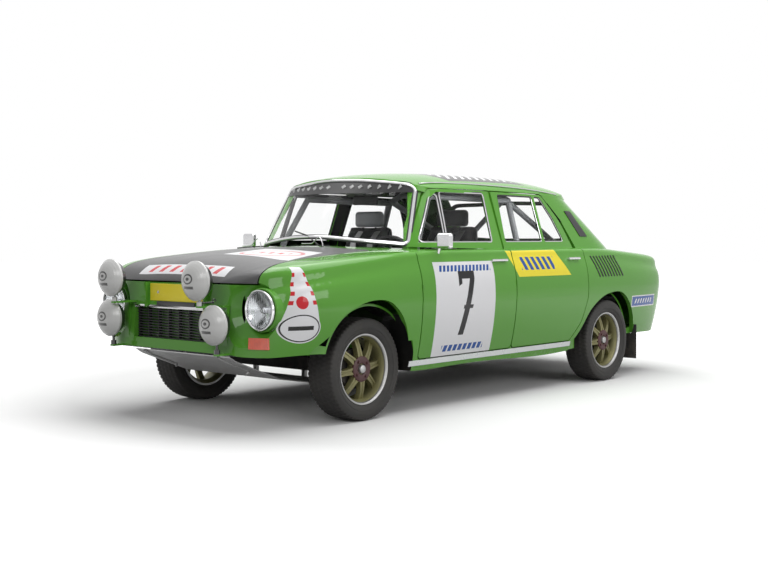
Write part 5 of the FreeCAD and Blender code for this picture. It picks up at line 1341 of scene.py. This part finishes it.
class CAR_OT_trim(bpy.types.Operator):
    """Builds the bright surrounds, seals, sunstrip, gutters and wipers"""

    bl_idname = "car.trim"
    bl_label = "Trim"

    def execute(self, context):
        sizes = context.scene.car_sizes
        edging("fixed_glass", endways, 0.5, 1.5, sizes.surround_width / 2, (SURROUND_SECTION, SURROUND_SEAL),
               ("screen_surrounds", "screen_seals"))
        for end in ENDS:
            for side, _ in SIDES:
                name = "%s_%s" % (end, side)
                pieces = (name + "_pane_frame", name + "_pane_seal")
                edging(name + "_glass", sideways, 0.6, 0.4, sizes.pane_frame_width / 2,
                       (PANE_FRAME_SECTION, PANE_SEAL), pieces, "door_" + name)
        self.sunstrip()
        self.gutters()
        self.wipers()
        return {"FINISHED"}

    def sunstrip(self):
        """Black band across the top of the windscreen with a row of white lozenges."""
        top = windscreen_top()
        band = welded("fixed_glass")
        chosen = outward_faces(band, endways, 0.5)
        bmesh.ops.delete(band, geom=[face for face in band.faces if face not in chosen], context="FACES")
        for point, normal in ((Vector(), -BACK), (UP * (top - SUNSTRIP_DEPTH), UP)):
            whole = list(band.verts) + list(band.edges) + list(band.faces)
            bmesh.ops.bisect_plane(band, geom=whole, plane_co=point, plane_no=normal, clear_inner=True)
        band.normal_update()
        for vert in band.verts:
            vert.co += vert.normal * SUNSTRIP_LIFT
        bmesh.ops.solidify(band, geom=list(band.faces), thickness=SUNSTRIP_THICKNESS)
        piece("sunstrip", band, "strip_black")
        tree = tree_of("fixed_glass")
        marks = bmesh.new()
        for index in LOZENGE_STEPS:
            x = index * LOZENGE_SPACING
            z = top - LOZENGE_DROP - LOZENGE_SAG * abs(x)
            spot, normal = seen_from(tree, Vector((x, -2.0, z)), BACK)
            rise = normal.cross(LEFT).normalized()
            verts = [marks.verts.new(spot + normal * LOZENGE_LIFT + LEFT * a + rise * b) for a, b in LOZENGE]
            marks.faces.new(verts)
        bmesh.ops.solidify(marks, geom=list(marks.faces), thickness=LOZENGE_THICKNESS)
        piece("sunstrip_marks", marks, "strip_white")

    def gutters(self):
        """Thin rails along both edges of the roof."""
        rail = bmesh.new()
        tree = tree_of("roof_shell", *["%s_%s_door" % (end, side) for end in ENDS for side, _ in SIDES])
        for _, sign in SIDES:
            line = []
            for run, z in GUTTER_LINE:
                spot, normal = seen_from(tree, at(sign * 1.5, run, z), LEFT * -sign)
                line.append(spot + normal * 0.001)
            out = Vector((sign, 0, 0.25)).normalized()
            strip(rail, [(point, out) for point in curved(line, 10)], GUTTER_SECTION, closed=False)
        piece("gutters", rail, "bright_metal")

    def wipers(self):
        """Two wiper arms with blades at rest."""
        metal = bmesh.new()
        blades = bmesh.new()
        tree = tree_of("front_body", "fixed_glass", "roof_shell")
        for x in WIPER_PLACES:
            def below(share, run):
                return seen_from(tree, at(x - WIPER_REACH * share, run, 1.6), -UP)

            lathe(metal, below(0.0, WIPER_RUN)[0], UP, WIPER_BOSS, 24, closed=False)
            line = []
            for share in ARM_SHARES:
                spot, normal = below(share, WIPER_RUN + ARM_SWEEP * share)
                line.append(spot + normal * (0.020 - 0.006 * share))
            pipe(metal, curved(line, 6), ARM_RADIUS, 8)
            edge = [below(share, WIPER_RUN + 0.010 + BLADE_SWEEP * share) for share in BLADE_SHARES]
            strip(blades, edge, BLADE_SECTION, closed=False)
        piece("wiper_arms", metal, "bright_metal")
        piece("wiper_blades", blades, "seal_rubber")


# Nose and tail
PLATE_THICKNESS = 0.003
PLATE_HEIGHT = 0.687
PLATE_ROUNDING = 0.0012
PLATE_STANDOFF = 0.008
PLATE_SCREWS = (-0.15, 0.15)
PLATE_SCREW_SIZE = (0.006, 0.004)
PLATE_STRIP_HEIGHT = 0.628
PLATE_STRIP_SIZE, PLATE_STRIP_ROUNDING = (0.31, 0.006, 0.024), 0.002
GRILLE_STRIP_HEIGHT = 0.612
GRILLE_STRIP_PLACES = (-0.341, -0.2, 0, 0.2, 0.341)
GRILLE_STRIP = [(-0.009, 0), (-0.008, 0.008), (0, 0.012), (0.008, 0.008), (0.009, 0)]
REAR_PLATE_HEIGHT = 0.56
REAR_PLATE_SIZE = (0.52, PLATE_THICKNESS, 0.112)
PLATE_LAMP_PLACES = (-0.19, 0.19)
PLATE_LAMP_SIZE, PLATE_LAMP_ROUNDING = (0.06, 0.030, 0.022), 0.006
LATCH_HEIGHT = 0.70
LATCH_SIZE, LATCH_ROUNDING = (0.11, 0.016, 0.020), 0.006
ROD_RADIUS, ROD_HOOK_RADIUS = 0.004, 0.003
STRAP_PLACE, STRAP_RADIUS = 0.30, 0.007
STRAP_HEIGHTS = (0.366, 0.350, 0.330, 0.310, 0.292, 0.276)
TAILPIPE = [(-0.050, 0.026), (0.004, 0.026), (0.006, 0.0245), (0.004, 0.023), (-0.050, 0.0225)]


class CAR_OT_ends(bpy.types.Operator):
    """Builds the plates, strips, hooks, lamp rods and tail details"""

    bl_idname = "car.ends"
    bl_label = "Nose and Tail"

    def execute(self, context):
        self.front_plate(context.scene.car_sizes)
        self.rear_plate()
        self.lamp_rods()
        self.hooks()
        self.exhaust_tip()
        return {"FINISHED"}

    def front_plate(self, sizes):
        """Blank plate with its screws, a dark strip below it and the grille's bright strip."""
        nose = tree_of("nose_panel")
        screws, bar = bmesh.new(), bmesh.new()
        spot, _ = seen_from(nose, Vector((0, -3, 0.70)), BACK)
        middle = Vector((0, spot.y - PLATE_STANDOFF, PLATE_HEIGHT))
        size = (sizes.plate_width, PLATE_THICKNESS, sizes.plate_height)
        box_piece("front_plate", middle, size, PLATE_ROUNDING, "plate_yellow")
        for x in PLATE_SCREWS:
            bolt(screws, middle + Vector((x, -PLATE_THICKNESS / 2, 0)), -BACK, *PLATE_SCREW_SIZE)
        piece("front_plate_screws", screws, "plate_grey")
        low, _ = seen_from(nose, Vector((0.02, -3, PLATE_STRIP_HEIGHT)), BACK)
        spot = Vector((0, low.y - PLATE_STRIP_SIZE[1], PLATE_STRIP_HEIGHT))
        box_piece("front_plate_strip", spot, PLATE_STRIP_SIZE, PLATE_STRIP_ROUNDING, "strip_black")
        line = []
        for x in GRILLE_STRIP_PLACES:
            grip, _ = seen_from(nose, Vector((x, -3, GRILLE_STRIP_HEIGHT)), BACK)
            line.append((grip + Vector((0, 0.002, -0.002)), -BACK))
        strip(bar, line, GRILLE_STRIP, closed=False)
        piece("grille_strip", bar, "bright_metal")

    def rear_plate(self):
        """Blank plate with its lamps, and a latch on the tail."""
        tail = tree_of("rear_body", "engine_lid")
        ledge = bmesh.new()
        spot, _ = seen_from(tail, Vector((0, 3, REAR_PLATE_HEIGHT)), -BACK)
        box_piece("rear_plate", spot + BACK * PLATE_STANDOFF, REAR_PLATE_SIZE, PLATE_ROUNDING, "plate_white")
        for x in PLATE_LAMP_PLACES:
            rounded_box(ledge, spot + Vector((x, 0.014, 0.072)), PLATE_LAMP_SIZE, PLATE_LAMP_ROUNDING)
            bolt(ledge, spot + Vector((x, 0.0095, 0)), BACK, *PLATE_SCREW_SIZE)
        piece("rear_plate_lamps", ledge, "bright_metal")
        grip, _ = seen_from(tail, Vector((0, 3, LATCH_HEIGHT)), -BACK)
        box_piece("engine_lid_handle", grip + BACK * 0.006, LATCH_SIZE, LATCH_ROUNDING, "bright_metal")

    def lamp_rods(self):
        """Thin dark rods from the upper lamps to the posts, with hooks on top."""
        rods = bmesh.new()
        low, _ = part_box("driving_lamps")
        for _, sign in SIDES:
            start = Vector((sign * 0.350, low.y + 0.075, 0.652))
            end = Vector((sign * 0.402, start.y + 0.055, 0.655))
            pipe(rods, [start, end], ROD_RADIUS, 8)
            angles = [math.pi * index / 12 for index in range(13)]
            hook = [end + Vector((0, 0.010 * math.cos(a), 0.014 * math.sin(a) + 0.004)) for a in angles]
            pipe(rods, hook, ROD_HOOK_RADIUS, 8)
        piece("lamp_rods", rods, "strip_black")

    def hooks(self):
        """Two towing straps on the skid plate."""
        straps = bmesh.new()
        tree = tree_of("skid_plate", "nose_panel")
        for _, sign in SIDES:
            spots = [seen_from(tree, Vector((sign * STRAP_PLACE, -3, z)), BACK)[0] for z in STRAP_HEIGHTS]
            line = [spot - BACK * 0.006 for spot in spots]
            line.append(line[-1] + Vector((sign * -0.010, -0.006, -0.016)))
            pipe(straps, curved(line, 6), STRAP_RADIUS)
        piece("tow_hooks", straps, "plate_grey", "plate_grey")

    def exhaust_tip(self):
        """Rolled bright end of the tailpipe."""
        _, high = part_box("exhaust")
        ends = [vert.co for vert in nodes["exhaust"].data.vertices if vert.co.y > high.y - 0.002]
        turned_piece("exhaust_tip", sum(ends, Vector()) / len(ends), BACK, TAILPIPE, 48, "bright_metal")


# Cabin
SEAT_LINE = ((0.735, 0.400), (0.745, 0.452), (0.800, 0.468), (0.950, 0.458), (1.075, 0.445),
             (1.135, 0.480), (1.165, 0.600), (1.190, 0.760), (1.212, 0.900), (1.228, 1.000),
             (1.238, 1.045))
SEAT_ACROSS = 12
SEAT_SIDE_START = 0.55
SEAT_CHANNEL, SEAT_CHANNEL_TURN = 0.004, 1.1
SEAT_WIDTH_SHARE = 0.97
SEAT_NARROWING = 0.22
SEAT_BOLSTER = 0.052
SEAT_THICKNESS = 0.060
SEAT_BACK_SHARES = (0.95, 0.5, 0.0, -0.5, -0.95)
SEAT_BACK_WIDTH = 0.94
HEAD_RUN, HEAD_HEIGHT = 1.232, 1.098
HEAD_SIZE, HEAD_ROUNDING = (0.225, 0.062, 0.105), 0.024
HEAD_POST, HEAD_POST_RADIUS = 0.055, 0.006
RAIL_PLACE, RAIL_RUNS, RAIL_RADIUS = 0.15, (0.760, 1.12), 0.012
LEG_RUNS, LEG_TOP, LEG_RADIUS = (0.82, 1.08), 0.405, 0.009
RAIL_HEIGHT = 0.335
BELT_LINE = ((0.075, 1.232, 1.02, (0, -1, 0.1)), (0.075, 1.152, 0.94, (0, -1, 0.1)),
             (0.080, 1.125, 0.76, (0, -1, 0.1)), (0.060, 1.095, 0.60, (0, -1, 0.2)),
             (0.030, 1.050, 0.50, (0, -0.6, 1)))
BELT_SECTION = [(-0.024, 0), (-0.024, 0.002), (0.024, 0.002), (0.024, 0)]
GAUGES = ((0.27, 0.835, 0.040), (0.43, 0.835, 0.040), (0.12, 0.84, 0.026), (0.03, 0.84, 0.026),
          (-0.06, 0.84, 0.026), (-0.22, 0.83, 0.034), (-0.31, 0.83, 0.034))
STEERING_CENTRE = (0.350, -0.49992, 0.815)
STEERING_RAKE = math.radians(25)
STEERING_RADIUS = 0.180
STEERING_STEPS = 72
GRIP_RADIUS, GRIP_SWELL = 0.0138, 0.0010
# Heights, and shares of a gauge's radius, of its face and its ring
GAUGE_FACE = ((0.001, 0.0), (0.001, 1), (0.003, 1), (0.003, 0.0))
GAUGE_RING = ((0.0, 1.12), (0.007, 1.06), (0.007, 0.98), (0.002, 0.95))
STEERING_BOSS = [(0.012, 0.046), (0.020, 0.042), (0.024, 0.030), (0.026, 0.0)]
MIRROR_RUN = 0.80
MIRROR_DROP = 0.115
MIRROR_SIZE, MIRROR_ROUNDING = (0.20, 0.020, 0.055), 0.009
MIRROR_GLASS_SIZE, MIRROR_GLASS_ROUNDING = (0.188, 0.002, 0.045), 0.0008


class CAR_OT_cabin(bpy.types.Operator):
    """Builds the padded seats, belts, gauges, wheel grip and inside mirror"""

    bl_idname = "car.cabin"
    bl_label = "Cabin"

    def execute(self, context):
        for name in ("driver_seat", "passenger_seat"):
            low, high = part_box(name)
            middle = (low.x + high.x) / 2
            self.seat(name, middle, (high.x - low.x) / 2)
            self.seat_fittings(name, middle)
        self.gauges()
        self.wheel()
        self.mirror()
        return {"FINISHED"}

    def seat(self, node, middle, half):
        """Bucket seat with raised sides, sewn channels and a padded head."""
        line = curved([at(middle, run, z) for run, z in SEAT_LINE], 5)
        rings = []
        last = len(line) - 1
        for index, point in enumerate(line):
            out = LEFT.cross(direction(line, index, False)).normalized()
            share = index / last
            wide = half * (SEAT_WIDTH_SHARE - SEAT_NARROWING * (max(share - SEAT_SIDE_START, 0) / 0.45) ** 2)
            rise = SEAT_BOLSTER * math.sin(math.pi * min(1.0, share * 1.05)) ** 0.5 if share < 0.96 else 0.02
            channel = SEAT_CHANNEL * math.sin(index * SEAT_CHANNEL_TURN)
            ring = []
            for step in range(SEAT_ACROSS + 1):
                across = -1 + 2 * step / SEAT_ACROSS
                lift = rise * max(0.0, abs(across) - SEAT_SIDE_START) / 0.45
                lift = lift if abs(across) < 0.95 else lift * 0.55
                dip = channel if abs(across) < 0.5 else 0.0
                ring.append(point + LEFT * (across * wide) + out * (lift + dip))
            for across in SEAT_BACK_SHARES:
                ring.append(point + LEFT * (across * wide * SEAT_BACK_WIDTH) - out * SEAT_THICKNESS)
            rings.append(ring)
        seat = skinned_piece(node + "_pad", rings, "seat_black", ends=True, crease=SOFT_CREASE)
        soft = seat.modifiers.new("Soft", "SUBSURF")
        soft.levels = soft.render_levels = 1
        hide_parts(node)
        tone = "seat_black" if node == "driver_seat" else "cage_grey"
        pad = box_piece(node + "_head_pad", at(middle, HEAD_RUN, HEAD_HEIGHT), HEAD_SIZE, HEAD_ROUNDING, tone,
                        segments=4, slot="seat_black", crease=SOFT_CREASE)

    def seat_fittings(self, node, middle):
        """The seat's posts, rails and belts."""
        rails = bmesh.new()
        belts = bmesh.new()
        for sign in (-1, 1):
            x = middle + sign * HEAD_POST
            pipe(rails, [at(x, HEAD_RUN, 1.00), at(x, HEAD_RUN, 1.06)], HEAD_POST_RADIUS)
            x = middle + sign * RAIL_PLACE
            pipe(rails, [at(x, run, RAIL_HEIGHT) for run in RAIL_RUNS], RAIL_RADIUS, 8)
            for run in LEG_RUNS:
                pipe(rails, [at(x, run, RAIL_HEIGHT), at(x, run, LEG_TOP)], LEG_RADIUS, 8)
            line = [(at(middle + sign * x, run, z), Vector(out)) for x, run, z, out in BELT_LINE]
            strip(belts, line, BELT_SECTION, closed=False)
        piece(node + "_frame", rails, "chassis_black")
        piece(node + "_belts", belts, "plate_grey", "seat_black")

    def gauges(self):
        """Round gauges with bright rings in front of the driver."""
        faces = bmesh.new()
        rings = bmesh.new()
        tree = tree_of("dashboard")
        for x, z, radius in GAUGES:
            spot, normal = seen_from(tree, Vector((x, 0.2, z)), -BACK)
            for mesh_data, section in ((faces, GAUGE_FACE), (rings, GAUGE_RING)):
                profile = [(height, radius * share) for height, share in section]
                lathe(mesh_data, spot, normal, profile, 40, closed=mesh_data is rings)
        piece("gauge_faces", faces, "gauge_face")
        piece("gauge_rings", rings, "bright_metal")

    def wheel(self):
        """Padded grip and boss on the steering wheel."""
        centre = Vector(STEERING_CENTRE)
        axis = turned_to(STEERING_RAKE)
        across, other = side_axes(axis)
        grip = bmesh.new()
        angles = [math.tau * index / STEERING_STEPS for index in range(STEERING_STEPS)]
        points = [centre + (across * math.cos(a) + other * math.sin(a)) * STEERING_RADIUS for a in angles]
        radii = [GRIP_RADIUS + GRIP_SWELL * math.sin(index * math.tau / 4) for index in range(STEERING_STEPS)]
        pipe(grip, points, radii, 14, loop=True)
        piece("wheel_grip", grip, "dash_black", body="steering_wheel", crease=SOFT_CREASE)
        turned_piece("wheel_boss", centre, axis, STEERING_BOSS, 48, "plate_grey", closed=False,
                     body="steering_wheel")

    def mirror(self):
        """Inside mirror below the windscreen's top edge."""
        shell = bmesh.new()
        top = windscreen_top()
        rounded_box(shell, at(0.0, MIRROR_RUN, top - MIRROR_DROP), MIRROR_SIZE, MIRROR_ROUNDING, segments=4)
        pipe(shell, [at(0, MIRROR_RUN, top - 0.09), at(0, MIRROR_RUN - 0.02, top + 0.005)], 0.005)
        piece("inside_mirror", shell, "dash_black")
        box_piece("inside_mirror_glass", at(0.0, MIRROR_RUN + 0.0105, top - MIRROR_DROP), MIRROR_GLASS_SIZE,
                  MIRROR_GLASS_ROUNDING, "bright_metal")


# Stage: each lamp's name, place, target, size and share of the overhead lamp's power
LAMPS = (("Lamp Overhead", (0, 0.5, 5.2), (0, 0.2, 0), (8.0, 5.0), 1.0),
         ("Lamp Front", (3.2, -7.0, 3.4), (0, -0.6, 0.5), (3.5, 2.2), 0.30),
         ("Lamp Flank", (8.0, 1.0, 3.0), (0.8, 0.3, 0.5), (6.0, 2.0), 0.50))
CAMERA_PLACE = (4.8399, -5.8030, 0.9795)
CAMERA_AHEAD = (-0.65463, 0.75470, -0.04350)
FLOOR_RADIUS = 40
FLOOR_SHADE = 0.30
GLOW_START, GLOW_END = 2.1, 5.0


def looking(ahead):
    """Turn of a camera or lamp that looks along a direction."""
    return Vector(ahead).to_track_quat("-Z", "Y").to_euler()


def shown_directly(tree):
    """One for camera, glossy and transmission rays."""
    light = tree.nodes.new("ShaderNodeLightPath").outputs
    shown = math_node(tree, "MAXIMUM", light["Is Camera Ray"], light["Is Glossy Ray"])
    return math_node(tree, "MAXIMUM", shown, light["Is Transmission Ray"])


class CAR_OT_stage(bpy.types.Operator):
    """Builds the pale floor, the soft lights and the camera"""

    bl_idname = "car.stage"
    bl_label = "Stage"

    def execute(self, context):
        scene = context.scene
        settings = scene.car_stage
        self.floor(settings)
        self.world(scene, settings)
        for name, place, target, size, share in LAMPS:
            lamp = bpy.data.lights.new(name, "AREA")
            lamp.shape = "RECTANGLE"
            lamp.size, lamp.size_y = size
            lamp.energy = settings.top_light * share
            made = linked(name, lamp)
            made.location = place
            made.rotation_euler = looking(Vector(target) - Vector(place))
        lens = bpy.data.cameras.new("Camera")
        lens.lens = settings.lens
        lens.sensor_width = 36.0
        lens.clip_end = 200
        camera = linked("Camera", lens)
        camera.location = CAMERA_PLACE
        camera.rotation_euler = looking(CAMERA_AHEAD)
        scene.camera = camera
        scene.view_settings.view_transform = "Standard"
        return {"FINISHED"}

    def floor(self, settings):
        """Wide round floor that shows as white beyond the shadow."""
        mesh_data = bmesh.new()
        bmesh.ops.create_circle(mesh_data, cap_ends=True, segments=96, radius=FLOOR_RADIUS)
        mesh = bpy.data.meshes.new("floor")
        mesh_data.to_mesh(mesh)
        mesh_data.free()
        finish = Finish("Floor", (settings.floor_tone,) * 3, 0.9, Specular_IOR_Level=0.0)
        shown = shown_directly(finish.tree)
        tone = finish.math("MULTIPLY_ADD", shown, settings.floor_tone - FLOOR_SHADE, FLOOR_SHADE)
        grey = finish.tree.nodes.new("ShaderNodeCombineColor")
        for socket in grey.inputs:
            finish.tree.links.new(tone, socket)
        finish.tree.links.new(grey.outputs[0], finish.shader.inputs["Base Color"])
        square = finish.math("MULTIPLY_ADD", finish.x, finish.x, finish.math("MULTIPLY", finish.y, finish.y))
        far = ramp_node(finish.tree, finish.math("SQRT", square), GLOW_START, GLOW_END)
        finish.shader.inputs["Emission Color"].default_value = (1, 1, 1, 1)
        finish.tree.links.new(finish.both(shown, far), finish.shader.inputs["Emission Strength"])
        mesh.materials.append(finish.material)
        linked("floor", mesh)

    def world(self, scene, settings):
        """White sky for the camera, gloss and glass, and plain soft light for the rest."""
        world = bpy.data.worlds.new("Studio")
        scene.world = world
        world.use_nodes = True
        tree = world.node_tree
        sky = tree.nodes["Background"]
        sky.inputs["Color"].default_value = (1, 1, 1, 1)
        shown = shown_directly(tree)
        strength = math_node(tree, "MULTIPLY_ADD", shown, 1.0 - settings.sky_light, settings.sky_light)
        tree.links.new(strength, sky.inputs["Strength"])


class CAR_PT_panel(bpy.types.Panel):
    """Lists the steps that dress the car"""

    bl_idname = "CAR_PT_panel"
    bl_label = "Rally Car"
    bl_space_type = "VIEW_3D"
    bl_region_type = "UI"
    bl_category = "Rally Car"

    def draw(self, context):
        layout = self.layout
        for step in STEPS:
            layout.operator(step.bl_idname)
        for group in (context.scene.car_colours, context.scene.car_sizes, context.scene.car_stage):
            for name in group.__annotations__:
                layout.prop(group, name)


STEPS = (CAR_OT_finishes, CAR_OT_tyres, CAR_OT_rims, CAR_OT_lamps, CAR_OT_posts, CAR_OT_trim, CAR_OT_ends,
         CAR_OT_cabin, CAR_OT_stage)
CLASSES = (CarColours, CarSizes, StageSettings) + STEPS + (CAR_PT_panel,)


def register():
    """Registers the classes and their settings."""
    for kind in CLASSES:
        bpy.utils.register_class(kind)
    bpy.types.Scene.car_colours = PointerProperty(type=CarColours)
    bpy.types.Scene.car_sizes = PointerProperty(type=CarSizes)
    bpy.types.Scene.car_stage = PointerProperty(type=StageSettings)


def unregister():
    """Removes the classes and their settings."""
    del bpy.types.Scene.car_colours
    del bpy.types.Scene.car_sizes
    del bpy.types.Scene.car_stage
    for kind in reversed(CLASSES):
        bpy.utils.unregister_class(kind)


def main():
    """Dresses the car."""
    register()
    bpy.ops.car.finishes()
    bpy.ops.car.tyres()
    bpy.ops.car.rims()
    bpy.ops.car.lamps()
    bpy.ops.car.posts()
    bpy.ops.car.trim()
    bpy.ops.car.ends()
    bpy.ops.car.cabin()
    bpy.ops.car.stage()


if __name__ == "__main__":
    main()
